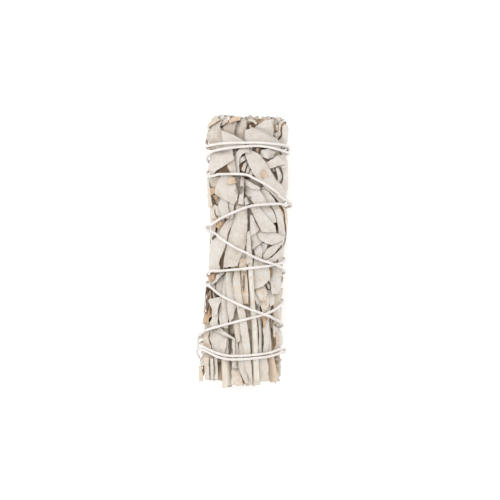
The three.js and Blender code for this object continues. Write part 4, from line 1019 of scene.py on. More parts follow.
     [(-9.6, -8.9), (-9.1, -16.8), (-8.4, -25.5), (-8.1, -29.1)],
     [(-7.8, -8.5), (-7.1, -16.7), (-6.6, -24.2), (-6.3, -29.1)]),
    ("left_strip", {"fold": 0.17, "lift": 0.5, "age": 0.07},
     [(-13.1, -18.7), (-12, -21.4), (-10.6, -24.4)], [(-9, -17), (-9.4, -20.1), (-9.9, -24.1)]),
    ("tan_edge", {"age": 0.52, "tone": -1},
     [(-15.4, -13.6), (-15.5, -18.1), (-15.5, -23.4)],
     [(-14.2, -13.6), (-14.1, -18.5), (-14.2, -23.3)]),
    ("tan_edge", {"age": 1.08, "crinkle": 0.2, "tone": -1},
     [(-14.5, -13.9), (-14.5, -18.1), (-14.6, -22.5)],
     [(-13.6, -13.9), (-13.5, -18), (-13.6, -23)]),
    ("tan_edge", {"age": 0.59, "crinkle": 0.2, "tone": -1},
     [(-14, -15.1), (-13.8, -18.8), (-13.8, -24.1)], [(-13.1, -15), (-12.9, -18.8), (-12.9, -24)]),
    ("tan_edge", {"age": 0.63, "crinkle": 0.3, "tone": -0.8},
     [(-15.5, -20), (-15.5, -23.7), (-15.2, -27.9)],
     [(-13.4, -19.8), (-13.2, -23.7), (-13, -27.4)]),
    ("left_strip", {"fold": 0.11, "tuck": 0.4, "age": 0.07},
     [(-13.8, -19.5), (-13.4, -24), (-12.4, -29.3)],
     [(-11, -20.6), (-10.2, -24.3), (-10.1, -29.6)]),
    ("left_strip", {"fold": 0.28, "tuck": 0.1, "age": 0.07},
     [(-10.4, -17.2), (-10.2, -22.8), (-9.6, -28.8)],
     [(-8.3, -17.1), (-7.6, -22.7), (-7.2, -28.7)]),
    ("tan_edge", {"age": 0.67, "crinkle": 0.3, "tone": -0.8},
     [(-15.2, -14), (-15.4, -17.4), (-15.5, -20.7)],
     [(-13.4, -13.8), (-13.2, -17.3), (-13.5, -20.7)]),
    ("left_strip", {"age": 0.15, "tuck": 0.3},
     [(-14.8, -7.6), (-14.5, -12.8), (-14, -18.8)],
     [(-12.5, -7.7), (-12.1, -13.5), (-11.5, -18.7)]),
    ("left_strip", {"tuck": 0.4, "age": 0.07},
     [(-12, -10.9), (-11.6, -14.3), (-11, -18.3)], [(-8.3, -8.1), (-8.2, -13), (-7.9, -18.3)]),
    ("right_foot", {"age": 0.26, "tone": 0.5, "fold": 0.17},
     [(6.4, -14.1), (6.4, -18.6), (7.8, -22.7)], [(9.9, -13.2), (10.1, -18.5), (9, -22.6)]),
    ("right_foot", {"tuck": 0.3, "age": 0.11},
     [(9.4, -14.4), (9.3, -17.4), (10.4, -20.2)], [(12, -13.9), (12, -17.3), (11.4, -20)]),
    ("right_grey", {"fold": 0.11, "age": 0.26, "tone": -1},
     [(11.5, -13.5), (11.8, -19.9), (12.1, -27)], [(12.9, -13.5), (13.1, -19.9), (13.3, -27)]),
    ("right_grey", {"fold": 0.11, "age": 0.15, "tone": -0.4},
     [(12.8, -13.5), (13.1, -21), (13.3, -27.8)], [(14, -13.5), (14.3, -21), (14.6, -27.7)]),
    ("right_grey", {"fold": 0.06, "tuck": -0.4, "age": 0.15, "tone": -0.3},
     [(13.7, -13.5), (14.2, -22.1), (14.7, -31.4)], [(15.5, -13.4), (15.7, -22), (16.1, -36.8)]),
    ("right_grey", {"tuck": -0.4, "age": 0.15},
     [(13.4, 2.3), (14, -3.7), (14.4, -14.2)], [(15.7, 2.3), (15.6, -3.7), (15.7, -14.2)]),
    ("right_foot", {"tuck": 0.3, "lift": 0.3, "age": 0.07},
     [(11, -24.8), (11.2, -28.2), (11.4, -31.9)], [(12, -24.8), (12.1, -28.2), (12.1, -32.1)]),
    ("right_foot", {"crinkle": 0.9, "lift": 0.6, "age": 0.29},
     [(12, -26.3), (12.2, -28.2), (12.2, -30.2)], [(13.1, -26.3), (13.3, -28.1), (13.2, -30.2)]),
    ("right_foot", {"age": 0.33, "tone": -1.2, "lift": 0.3},
     [(12.2, -30.8), (12.3, -33.8), (12.5, -37.5)], [(13, -30.5), (13.2, -33.8), (13.4, -37.5)]),
    ("right_grey", {"fold": 0.11, "lift": 0.3, "age": 0.07},
     [(13, -27.4), (13.3, -32.3), (13.5, -37.5)], [(14.4, -27.3), (14.6, -32.2), (14.9, -37.5)]),
    ("right_grey", {"tuck": -0.3, "age": 0.22, "tone": -1},
     [(14.4, -23.2), (14.7, -31.1), (14.9, -37.5)], [(15.6, -23.2), (15.9, -31.1), (16.1, -37.4)]),
    ("right_foot", {"age": 0.63, "tuck": 0.3},
     [(6.9, -23.4), (7.4, -25.6), (7.9, -28.3)], [(9.3, -23.4), (8.9, -26), (8.4, -28.3)]),
    ("right_foot", {"tuck": 0.4, "age": 0.07},
     [(7.9, -28), (8.1, -32.5), (8.3, -37.7)], [(10.1, -24.4), (10.4, -30.8), (10.6, -37.6)]),
    ("right_foot", {"fold": 0.22, "tuck": 0.3, "age": 0.07},
     [(5.7, -20.1), (6.3, -27.6), (6.8, -38.1)], [(7.5, -20), (8.2, -27.5), (8.6, -38)]),
    ("right_foot", {"fold": 0.17, "tuck": 0.3, "age": 0.15},
     [(9.6, -19.6), (10, -27.5), (10.5, -38.3)], [(11.5, -19.4), (11.2, -27.4), (11.7, -38.3)]),
    ("lower_plate", {"tuck": 0.2, "age": 0.07},
     [(-11.3, -27.6), (-8, -29.8), (-3.4, -32.4)], [(-11, -30.5), (-7.5, -31.6), (-2.7, -33.4)]),
    ("lower_plate", {"fold": 0.22, "lift": 0.4, "age": 0.07},
     [(-9.1, -32.1), (-8.8, -35.5), (-8.1, -38.7)], [(-6.1, -33.1), (-6.4, -36.3), (-7.5, -38.8)]),
    ("lower_plate", {"fold": 0.15, "tuck": -0.2, "lift": 0.3, "age": 0.07},
     [(-12.6, -29.4), (-12.1, -34.2), (-10.5, -39.2)], [(-7.1, -30.3), (-6, -33.2), (-6.1, -38.8)]),
    ("down_tip", {"fold": 0.22, "age": 0.26, "lift": 0.3},
     [(-4.2, -26), (-3.4, -30.1), (-2.7, -34)], [(-1.2, -25.9), (-0.7, -30), (-1.1, -33.8)]),
    ("down_tip", {"fold": 0.28, "age": 0.07},
     [(-4.4, -32.4), (-4.3, -35.7), (-4, -39.5)], [(-3.2, -32.8), (-3, -36.2), (-2.8, -39.5)]),
    ("down_tip", {"fold": 0.28, "age": 0.07},
     [(-3.3, -33.1), (-3.2, -36.1), (-2.9, -39.5)], [(-2.1, -33.5), (-1.9, -36.1), (-1.7, -39.5)]),
    ("lower_plate", {"tuck": 0.5, "age": 0.29, "tone": -0.6},
     [(-16.4, -30.9), (-16.3, -34.3), (-15.8, -39.1)],
     [(-13.6, -30), (-13, -34.2), (-12.4, -38.6)]),
    ("lower_plate", {"fold": 0.28, "age": 0.15, "tone": 0.4},
     [(-14, -30.1), (-13.5, -34.2), (-12.8, -38.7)],
     [(-12.1, -30), (-11.7, -34.1), (-10.8, -38.6)]),
    ("cream_foot", {"fold": 0.06, "tone": 0.2, "age": 0.18},
     [(-0.9, -32.3), (-2, -36.5), (-2.1, -39.8), (-0.8, -44.7), (1.6, -49.5)],
     [(0.1, -32.3), (0.9, -36.4), (1.6, -39.7), (2.2, -44.6), (2.9, -49.9)]),
    ("sprig_03", {"age": 0.12, "tone": 0.5, "down": 2.6},
     [(-5.5, -50.9), (-6.4, -43.4), (-7.2, -38.1), (-8.4, -28), (-9.9, -14.9), (-11.4, 0),
      (-13.2, 21.7)],
     (1.55, 0.8)),
    ("sprig_04", {"age": 0.5, "tone": -0.2, "down": 2.6},
     [(11.7, -48.3), (11.3, -42.8), (10.8, -37.6), (10.2, -27.5), (9.1, -10.6), (8.3, 4.4),
      (7.4, 23.1)],
     (1.45, 0.8)),
    ("sprig_07", {"age": 0.15, "tone": 0.2, "down": 2.2},
     [(14.8, -46.5), (14, -42.7), (13.1, -38.6), (12.9, -31.1), (13.4, -14.2), (13.6, 4.5),
      (13.3, 27)],
     (1.1, 0.7)),
    ("sprig_02", {"age": 0.1, "tone": 0.3, "down": 2.8},
     [(3.5, -49.8), (2.1, -37.1), (0.2, -25.9), (-1.5, -18.4), (-3, -7.2)], (1.2, 0.8)),
    ("right_foot", {"age": 0.45, "tone": -2},
     [(9.6, -18.1), (10.1, -27.5), (10.6, -39.1)], [(13.4, -18), (13.7, -27.4), (14.4, -39)]),
    ("right_foot", {"fold": 0.17, "lift": 0.4, "age": 0.07},
     [(10.4, -34.6), (11.9, -37.6), (13.7, -40.9)], [(11.4, -34.1), (13.5, -37.1), (15.1, -40)]),
    ("right_foot", {"tuck": 0.3, "age": 0.07},
     [(10.1, -35), (10.5, -37.6), (11.1, -40.6)], [(11, -35), (11.6, -37.6), (12, -40.6)]),
    ("cream_foot", {"crinkle": 0.35, "lift": 0.4, "age": 0.07},
     [(-4.1, -41.3), (-2.7, -40.8), (-1, -41.4)], [(-3.9, -43.5), (-2.6, -43.9), (-1.1, -43.7)]),
    ("cream_foot", {"age": 0.29, "fold": 0.1, "lift": 0.2},
     [(-4.3, -43.3), (-4, -46.7), (-3.5, -50)], [(-1.3, -42.6), (-0.2, -46.2), (0.8, -50.1)]),
    ("cream_foot", {"age": 0.78, "crinkle": 0.7},
     [(0.2, -45), (0.4, -47.3), (0.7, -49.5)], [(1.7, -45.2), (2.1, -47.2), (2.4, -49.4)]),
    ("cream_foot", {"tuck": 0.3, "age": 0.07},
     [(-5.2, -38.1), (-4.7, -41.1), (-4.2, -44)], [(-1.6, -38), (-0.9, -40.9), (-0.6, -43.9)]),
    ("right_foot", {"fold": 0.15, "age": 0.16},
     [(6.6, -38.8), (6.8, -44.1), (7.2, -48.4)], [(9.9, -38.7), (10.3, -44), (10.5, -48.3)]),
    ("foot_scraps", {"fold": 0.22, "age": 0.26},
     [(-14.3, -40.2), (-14.1, -44.3), (-13.7, -48.8)],
     [(-12.8, -40.2), (-12.6, -44.3), (-12.3, -48.8)]),
    ("foot_scraps", {"fold": 0.22, "age": 0.15},
     [(-12.8, -40.2), (-12.6, -44.3), (-12.3, -48.8)],
     [(-11.5, -40.1), (-11.2, -44.3), (-11, -48.3)]),
    ("foot_scraps", {"fold": 0.22, "lift": 0.3, "age": 0.07},
     [(-11.7, -39.8), (-11.2, -43.9), (-10.4, -48.8)],
     [(-10.5, -39.3), (-9.8, -43.4), (-9.1, -48.3)]),
    ("foot_scraps", {"fold": 0.22, "age": 0.16},
     [(-9.6, -39.3), (-9.3, -44.2), (-9, -49.1)], [(-7.7, -39.3), (-7.5, -44.1), (-7.3, -49)]),
    ("foot_scraps", {"age": 0.37, "crinkle": 0.15, "tuck": 0.3},
     [(-17.4, -43.7), (-17.3, -46.3), (-17, -48.9)],
     [(-15.1, -43.6), (-14.8, -46.2), (-14.5, -49.1)]),
    ("foot_scraps", {"age": 0.75, "crinkle": 0.2},
     [(-17, -44.8), (-16.8, -45.7), (-16.5, -46.7)],
     [(-15.8, -44.6), (-15.4, -45.5), (-15.1, -46.4)]),
    # Broad sheets under all the leaves above, seen in the gaps between them; their lower tone is
    # painted shade.
    ("cool_plate", {"tone": -0.8, "age": 0.16},
     [(-12.5, -7.5), (-11.7, -15), (-11.3, -22.5), (-10.2, -31.5)],
     [(-4.4, -6.5), (-3, -14.7), (-1.7, -22.2), (-0.3, -31.2)]),
    ("broad_middle", {"tone": -1, "age": 0.22},
     [(-5.1, -4.3), (-3.2, -14.7), (-1.5, -22.2), (-0.2, -29.7)],
     [(4.5, -4), (5.2, -14.5), (6.2, -22), (6.8, -29.4)]),
    ("right_foot", {"tone": -1, "age": 0.26},
     [(4, -7), (5.1, -16.4), (6.2, -27.6), (7, -41.8)],
     [(15.1, -6.7), (15.4, -16.1), (15.8, -27.3), (15.8, -41.6)]),
    ("lower_plate", {"tone": -0.8, "age": 0.22},
     [(-16.4, -27.1), (-15.8, -33.9), (-15.2, -42.1)], [(-6, -26.8), (-5.1, -33.6), (-4.1, -41.8)]),
    ("cream_foot", {"tone": -0.6, "age": 0.26},
     [(-6.6, -28), (-5.6, -35.5), (-4.6, -44.1)], [(5.6, -27.6), (6.2, -35.1), (6.9, -43.7)]),
    ("spade", {"tone": -1, "age": 0.09},
     [(-15.7, 26.9), (-15.2, 22.4), (-14.3, 16.1)], [(-2.8, 28.1), (-2.3, 22.8), (-2.4, 16.4)]),
    ("upper_diagonal", {"tone": -0.9, "age": 0.09},
     [(-4.5, 26.5), (-2.8, 22.1), (-1.2, 16.1)], [(5.5, 27.6), (9.4, 22.4), (13.7, 16.6)]),
    ("right_inner", {"tone": -0.9, "age": 0.15},
     [(2.7, 38.4), (5.1, 32.8), (7.5, 26.9)], [(14.5, 38.7), (14.7, 33.1), (14.9, 27.1)]),
    ("diagonal_band", {"tone": -0.8, "age": 0.09},
     [(-0.5, 18), (0.2, 9.8), (0.8, 0.4)], [(14, 18.4), (15, 10.2), (15.3, 0.8)]),
    ("left_blade", {"tone": -0.8, "age": 0.11},
     [(-15.5, 17.6), (-15.2, 7.4), (-14.8, -3.1)], [(-4, 17.9), (-5.2, 7.7), (-6.4, -2.8)]),
]

# The middle, and half the size across and along, of the dark holes between these leaves. The leaves
# that sink into them are also darkened by the painted shade of deep places.
HOLE_DEPTH = 3.6
HOLES = [
    (3.8, 49.7, 0.26, 0.45),
    (14.6, -10.4, 0.15, 0.83),
    (-2.6, 22.6, 0.49, 1.12),
    (-4.2, 22.5, 0.45, 0.83),
    (1.2, 19.4, 0.56, 0.75),
    (0.7, 14.1, 0.34, 0.98),
    (-0.4, -12, 0.38, 2.62),
    (-5.8, -9.7, 0.38, 0.98),
    (6, -21.1, 0.34, 1.27),
    (-4.9, -37.1, 0.45, 0.75),
    (7.1, -46.2, 0.3, 0.9),
]
for x, y, half_x, half_y in HOLES:
    ring = np.linspace(0, 2 * math.pi, 40, endpoint=False)
    for size in np.arange(0, 1.01, 0.08):
        hole = [x + half_x * size * np.cos(ring), y + half_y * size * np.sin(ring)]
        pits.cover(*seen(np.stack(hole, -1)).T, HOLE_DEPTH)

LIES_DOWN = 0.7  # how far below the outermost surface these leaves are seen
NARROW_LEAF = 1.9
OUT_OF_SIGHT = 1.55 * MEAN_RADIUS
upper, stems = {}, {}
for number, (name, form, left, right) in enumerate(UPPER_SIDE):
    if name.startswith("sprig"):
        places = spline(seen(left, form.pop("down")), 49)
        stems[name] = lay_stem(*places.T, np.linspace(*right, 50), name, number, **form)
        continue
    narrow = max(math.dist(a, b) for a, b in zip(left, right)) < NARROW_LEAF
    left, right = seen(left, LIES_DOWN), seen(right, LIES_DOWN)
    roll = dice(700 + number)
    for place in (*left, *right):
        if abs(place[0]) > OUT_OF_SIGHT:  # the edge lies somewhere further round
            place[0] += math.copysign(roll(0, 6), place[0])
    leaf = add_leaf(left, right, name, 500 + number * 7, narrow, **form)
    upper.setdefault(name, []).append(leaf)
for name, parts in upper.items():
    own = "leaf_" + name
    nodes = [own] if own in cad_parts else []
    finish_piece(join(parts, own + "_felted"), leaf_skin, "leaf", *nodes)

# Outer sprigs: sixteen cut stems laid lengthways round the stick, each with its leaves folded
# up along it. The stems are woody, four-cornered, with a ring at each pair of leaves.
OUTER_SPRIGS = [  # foot and head in degrees round and millimetres along, and the foot's radius
    ((23, -50.6), (1, 8.5), 1.1),
    ((14, -50.4), (-12, -7), 1.45),
    ((-18, -50.9), (-34, 22), 1.7),
    ((49, -49.2), (40, 25), 1.5),
    ((-34, -49.6), (-55, 26), 1.0),
    ((-50, -49.4), (-76, 28), 1.1),
    ((68, -47.6), (66, 27), 1.2),
    ((-72, -49.6), (-98, 27), 1.35),
    ((94, -49.8), (90, 30), 1.4),
    ((118, -50.6), (114, 24), 1.2),
    ((142, -48.8), (138, 30), 1.4),
    ((165, -50.2), (162, 25), 1.25),
    ((188, -49.4), (186, 31), 1.3),
    ((212, -50.8), (210, 24), 1.3),
    ((237, -49.0), (236, 30), 1.15),
    ((262, -50.3), (250, 22), 1.2),
]
LOWEST_FOOT = -48.4  # from above, no stem of the underside shows beyond those of the upper side
BLADE = 0.6  # thickness of a leaf of the solids
STEMS_END = 33
END_ROOM = 5.3
HEART = 0.52
LEAF_ROOM = 0.68
BARE_DEPTH = 1.2  # what nothing reaches this far down counts as bare


def outline_rows(start, end, wide, bow, stations, wave):
    """Left edge, midrib and right edge of a growing leaf, a row for each station."""
    t = np.arange(stations + 1) / stations
    ds, dv = end[0] - start[0], end[1] - start[1]
    length = math.hypot(ds, dv)
    bulge = 4 * t * (1 - t)
    lean = 4 * bow * (1 - 2 * t)
    way_s, way_v = ds - dv / length * lean, dv + ds / length * lean
    way = np.hypot(way_s, way_v)
    middle_s = start[0] + ds * t - dv / length * bow * bulge
    middle_v = start[1] + dv * t + ds / length * bow * bulge
    ends = wide[0] * (1 - t) + wide[2] * t
    swell = wide[1] - (wide[0] + wide[2]) / 2
    waves = 1 + np.where(np.arange(stations + 1) % 2, wave, -wave)
    width = np.maximum(0.9, (ends + swell * bulge) * waves)
    off = np.array([0.5, 0, -0.5]) * width[:, None]
    rows_s = middle_s[:, None] - (way_v / way)[:, None] * off
    rows_v = middle_v[:, None] + (way_s / way)[:, None] * off
    return np.stack([rows_s, rows_v], axis=-1)


def over_patches(rows, steps):
    """Evenly spaced points over each patch of a leaf's rows."""
    share = np.arange(steps + 1) / steps
    a, b = (grid[..., None] for grid in np.meshgrid(share, share, indexing="ij"))
    p, q = rows[:-1, :-1, None, None], rows[:-1, 1:, None, None]
    r, w = rows[1:, :-1, None, None], rows[1:, 1:, None, None]
    return (p * (1 - a) + q * a) * (1 - b) + (r * (1 - a) + w * a) * b


def depths_of(rows, tilt):
    """How deep a leaf of the solids lies at its rows, with one edge tilted down."""
    points = over_patches(rows, 8)
    deepest = coarse.at(points[..., 0], points[..., 1]).max(axis=(2, 3))
    depths = np.zeros(rows.shape[:2])
    for dj in (0, 1):
        for di in (0, 1):
            part = depths[dj : dj + deepest.shape[0], di : di + deepest.shape[1]]
            np.maximum(part, deepest, out=part)
    return depths + np.maximum(0, tilt * (np.arange(3) - 1))


def leaf_fits(rows, depths):
    """Whether a leaf stays clear of the inner sprigs."""
    s, v = rows[..., 0], rows[..., 1]
    inner = (1 - HEART) * section_radius(s / MEAN_RADIUS, v) - GAP
    room = np.where(v > STEMS_END, END_ROOM, inner)
    share = np.where(v < STEMS_END, LEAF_ROOM, 1)
    return np.all(depths + BLADE < share * room)


def bare_under(rows):
    """How much bare surface a leaf would cover, in square millimetres."""
    points = over_patches(rows, 4)
    bare = (coarse.at(points[..., 0], points[..., 1]) < BARE_DEPTH).sum(axis=(2, 3))
    across, along = rows[:-1, 1:] - rows[:-1, :-1], rows[1:, :-1] - rows[:-1, :-1]
    patch = np.abs(across[..., 0] * along[..., 1] - across[..., 1] * along[..., 0])
    return float(np.sum(bare * patch) / 25)


def cover_leaf(rows, depths):
    points = over_patches(np.concatenate([rows, depths[..., None]], axis=-1), 10)
    coarse.cover(points[..., 0], points[..., 1], points[..., 2] + BLADE + GAP)


# The plain leaves of the solid model, which the sprigs' own leaves find their way round: the
# ends of the midrib as seen from above, the widths at its start, middle and end, and its bow
PLAIN_LEAVES = [
    ((1.2, 37.6), (15.3, 18.8), (4.4, 5.3, 1.2), 0.6),  # bent_ribbon
    ((-4.2, 36.6), (-15.6, 30.0), (5.0, 8.0, 7.0)),  # corner_plate
    ((-9.6, 28.4), (-4.6, 17.6), (4.2, 8.4, 3.4)),  # spade
    ((4.6, 6.8), (14.8, 5.8), (2.8, 5.2, 0.9), -0.6),  # lens
    ((5.2, 6.6), (3.1, 0.6), (3.4, 3.6, 0.9)),  # lens_flap
    ((1.3, 17.4), (9.6, 7.4), (4.0, 4.4, 4.2)),  # diagonal_band
    ((7.4, -2.6), (14.2, 4.2), (2.0, 3.4, 0.9)),  # pointed_right
    ((-2.0, 16.2), (-6.5, -7.2), (4.0, 7.6, 3.0)),  # broad_middle
    ((-1.6, 24.8), (7.8, 18.0), (2.8, 4.9, 4.8)),  # upper_diagonal
    ((-5.6, 14.6), (-12.2, -8.0), (2.2, 6.6, 5.0), 0.6),  # left_blade
    ((-0.6, 43.2), (14.2, 39.8), (5.0, 5.4, 2.6)),  # crown_band
    ((6.8, 44.0), (7.6, 50.0), (6.6, 4.9, 1.6)),  # crown_triangle
    ((2.4, 45.0), (1.8, 50.7), (3.8, 4.8, 4.6)),  # crown_curl
    ((-9.6, 42.3), (-0.4, 40.8), (5.2, 3.7, 0.9)),  # crown_diagonal
    ((14.0, 39.8), (12.4, 50.0), (4.2, 4.8, 4.4)),  # crown_right
    ((-12.4, 39.2), (-11.2, 49.0), (4.6, 5.2, 4.8)),  # crown_left
    ((-3.0, 43.4), (-3.7, 50.2), (4.6, 5.6, 5.4)),  # crown_middle
    ((10.8, 42.4), (9.8, 50.4), (3.4, 4.2, 4.2)),  # crown_fold
    ((-8.0, 42.6), (-7.8, 49.8), (3.6, 5.0, 4.6)),  # crown_rim
    ((8.4, 32.0), (14.2, 34.4), (3.2, 3.8, 3.4)),  # right_flag
    ((-1.8, 37.6), (-2.6, 28.2), (1.9, 2.1, 1.7), -2.0),  # curl_band
    ((-2.5, 28.0), (-1.6, 16.8), (1.5, 1.8, 1.9)),  # white_stalk
    ((7.0, 17.8), (11.9, 9.8), (5.0, 4.4, 1.4)),  # right_steep
    ((15.4, 37.4), (15.8, 19.6), (2.6, 3.6, 2.4)),  # right_edge
    ((12.0, 31.4), (14.9, 21.6), (2.6, 4.2, 1.6)),  # right_inner
    ((7.4, -4.8), (5.0, -15.6), (5.4, 5.6, 1.2)),  # down_plate
    ((-5.4, -7.8), (-5.2, -27.2), (3.0, 4.4, 4.0)),  # cool_plate
    ((12.3, -7.4), (12.1, -16.4), (2.6, 3.8, 2.0)),  # right_grey
    ((-10.6, -17.4), (-10.9, -28.6), (3.6, 4.0, 2.2)),  # left_strip
    ((-14.0, -18.8), (-13.8, -27.2), (2.2, 3.2, 2.6)),  # tan_edge
    ((-8.5, -29.0), (-7.2, -38.6), (4.6, 6.0, 3.2)),  # lower_plate
    ((-1.7, -17.6), (-0.7, -25.4), (1.6, 3.0, 2.5)),  # spoon
    ((-4.8, -28.2), (-1.6, -33.6), (2.6, 3.1, 1.0)),  # down_tip
    ((-0.9, -50.2), (-2.5, -41.2), (4.2, 4.8, 3.0)),  # cream_foot
    ((9.3, -48.6), (8.5, -35.0), (3.0, 3.3, 2.6)),  # right_foot
]
for number, (start, end, wide, *bow) in enumerate(PLAIN_LEAVES):
    roll = dice(number + 100)
    (start,), (end,) = seen([start]), seen([end])
    rows = outline_rows(start, end, wide, bow[0] if bow else 0, 5, roll(0.02, 0.1))
    cover_leaf(rows, depths_of(rows, roll(-0.6, 0.6)))


def stem_line(foot, head, radius, shift):
    """Nine points of a stem, each with its length round, length along, radius and depth."""
    t = np.arange(9) / 8
    s = np.radians(foot[0] + shift + (head[0] - foot[0]) * t) * MEAN_RADIUS
    v = foot[1] + (head[1] - foot[1]) * t
    radii = radius * (1 - 0.45 * t) * np.where(np.arange(9) % 3 == 2, 1.08, 1)
    a, off = np.meshgrid(np.arange(13) / 12, np.arange(13) / 12, indexing="ij")
    depths = np.zeros(9)
    for i in range(8):
        across = s[i] + (s[i + 1] - s[i]) * a + (off * 2 - 1) * radii[i]
        deepest = coarse.at(across, v[i] + (v[i + 1] - v[i]) * a).max()
        depths[i] = max(depths[i], deepest + radii[i])
        depths[i + 1] = max(depths[i + 1], deepest + radii[i + 1])
    return np.stack([s, v, radii, depths], axis=-1)


def best_stem(foot, head, radius):
    """Of a few places side by side, the one where the stem lies least deep."""
    lines = {shift: stem_line(foot, head, radius, shift) for shift in (0, 4, -4, 8, -8)}
    return min(lines.items(), key=lambda item: item[1][:, 3].max() + abs(item[0]) / 16)[1]


def try_leaf(root, roll):
    """One way in which a leaf could grow from its root on the stem."""
    root_s, root_v, _, root_depth = root
    broad = min(1, max(0, (root_v + 34) / 40))
    lean = roll(-1, 1) * math.radians(14 + 16 * broad)
    over_the_end = root_v > 14
    length = 55 - roll(0, 6) - root_v if over_the_end else roll(17, 25) + broad * roll(2, 8)
    width = roll(3.8, 5.4) + broad * roll(1.5, 4.5) + (1 if over_the_end else 0)
    tip = roll(3, 6) if over_the_end else roll(1, 3.2)
    bow = roll(-1.2, 1.2)
    end = (root_s + length * math.sin(lean), root_v + length * math.cos(lean))
    wave = roll(0.02, 0.08)
    rows = outline_rows((root_s, root_v), end, (1.4, width, tip), bow, 4, wave)
    depths = depths_of(rows, roll(-0.8, 0.8))
    bare = bare_under(rows) if leaf_fits(rows, depths) else -1
    depths[0] = np.maximum(depths[0], root_depth)
    return bare, rows, depths


def sprig_leaves(points, roll):
    """The leaves of one sprig, from the top down, each where it covers the most bare surface."""
    leaves = []
    v = points[-1, 1] - roll(1, 4)
    while v > -46:
        root = [np.interp(v, points[:, 1], column) for column in points.T]
        tries = [try_leaf(root, roll) for _ in range(9)]
        bare, rows, depths = max(tries, key=lambda found: found[0])
        if bare > 0:
            cover_leaf(rows, depths)
            leaves.append(rows)
        v -= 8
    t = np.arange(21) / 20
    off = np.arange(-1.1, 1.11, 0.22)[:, None]
    for a, b in zip(points, points[1:]):
        s = a[0] + (b[0] - a[0]) * t + off * a[2]
        v_here, deep = a[1] + (b[1] - a[1]) * t, a[3] + (b[3] - a[3]) * t
        coarse.cover(s, v_here + 0 * s, deep + a[2] + GAP + 0 * s)
    return leaves


layouts = []
for number, sprig in enumerate(OUTER_SPRIGS, start=1):
    roll = dice(number)
    stem_points = best_stem(*sprig)
    layouts.append((stem_points, sprig_leaves(stem_points, roll)))


def outer_stem(number):
    """The stem of a sprig whose stem isn't given by its line as seen from above."""
    foot, head, radius = OUTER_SPRIGS[number - 1]
    points = layouts[number - 1][0]
    look = dice(6000 + number)
    v = np.linspace(max(foot[1], LOWEST_FOOT), head[1], 50)
    s = np.interp(v, points[:, 1], points[:, 0]) + 0.25 * ripple(0 * v, v, number, 14, 30)
    radii = radius * np.interp(v, [foot[1], head[1]], [1, 0.55])
    tone, age = look(-1, 1), max(0, look(-1, 0.6))
    return lay_stem(s, v, radii, "stem", number, tone=tone, age=age)


# Loose leaves everywhere else: dried sage leaves on the sides, the underside and the leafy end,
# and small ones between those of the upper side. They lie in every direction, as they fell
# when the stick was rolled up, and are laid before the sprigs, which lie under them.
NARROW_LOOSE_LEAF = 3


def bare_area(left, right, bare_depth=1.0, laid=fine):
    """How much of the surface between two edges has nothing over it yet, in square mm."""
    t = np.linspace(0, 1, 16)
    share = np.linspace(0, 1, 8)[None, :, None]
    place = along_edge(left, t)[:, None] * (1 - share) + along_edge(right, t)[:, None] * share
    depth = laid.at(place[..., 0], place[..., 1])
    across = np.linalg.norm(place[:, -1] - place[:, 0], axis=-1).mean()
    along = np.linalg.norm(place[-1].mean(0) - place[0].mean(0))
    return float(np.mean(depth < bare_depth) * across * along)


def leaf_edges(place, place_share, heading, length, half, bend, widths):
    """The two edges of a leaf with a heading and a bend sideways. place is the point at
    place_share of its length, and widths are shares of its half width."""
    way = np.array([math.sin(heading), math.cos(heading)])
    side = np.array([way[1], -way[0]])
    left, right = [], []
    for k, width in enumerate(widths):
        share = k / (len(widths) - 1)
        bow = side * (bend * math.sin(share * math.pi))
        middle = place + way * length * (share - place_share) + bow
        left.append(middle - side * half * width)
        right.append(middle + side * half * width)
    return left, right


def loose_edges(roll, angles, places, lean, lengths, halves):
    """The two edges of a leaf somewhere within the angles, in degrees, and places along."""
    s = math.radians(roll(*angles)) * MEAN_RADIUS
    v = roll(*places)
    lean = roll(-1, 1) ** 3 * lean
    length, half = roll(*lengths), roll(*halves)
    bend = roll(-1.5, 1.5)
    widths = (roll(0.3, 1), 1, roll(0.7, 1), roll(0.1, 0.8))
    return leaf_edges(np.array([s, v]), 0.5, lean, length, half, bend, widths)


def scatter_leaves(name, count, seed, least_bare, **limits):
    """Lays loose leaves one by one, each where it covers the most bare surface of ten tries."""
    leaves = []
    for number in range(count):
        roll = dice(seed + number)
        tries = [loose_edges(roll, **limits) for _ in range(10)]
        left, right = max(tries, key=lambda edges: bare_area(*edges))
        if bare_area(left, right) < least_bare:
            continue
        narrow = np.linalg.norm(left[1] - right[1]) < NARROW_LOOSE_LEAF
        form = {"tone": roll(-1, 1), "age": max(0, roll(-1.2, 0.7)) ** 2}
        form |= {"fold": roll(-0.1, 0.4), "tuck": roll(-0.5, 0.5)}
        form |= {"lift": roll(0, 0.5), "crinkle": roll(0.03, 0.2)}
        leaves.append(add_leaf(left, right, name, seed + 1000 + number * 7, narrow, **form))
    finish_piece(join(leaves, name), leaf_skin, "leaf")


ALL_ROUND = (-180, 180)
upper_limits = {"angles": (-75, 75), "lengths": (5, 12), "halves": (0.8, 2.2)}
side_limits = {"angles": (75, 285), "lengths": (5, 22), "halves": (0.8, 4.0)}
rim_limits = {"angles": ALL_ROUND, "lengths": (6, 10), "halves": (2.0, 4.5)}
scatter_leaves("upper_scraps", 60, 2000, 3, places=(-40, 47), lean=1.4, **upper_limits)
scatter_leaves("side_leaves", 90, 4000, 5, places=(-40, 47), lean=1.4, **side_limits)
scatter_leaves("rim_leaves", 40, 6000, 3, places=(46, 50.5), lean=1.2, **rim_limits)

# Tips that fold over the leafy end towards its middle, laid on a grid of their own that starts
# out with the leaves round the rim
FOLDED_TIPS = 34
BARE_END_DEPTH = 1.4
DISHED = 0.012


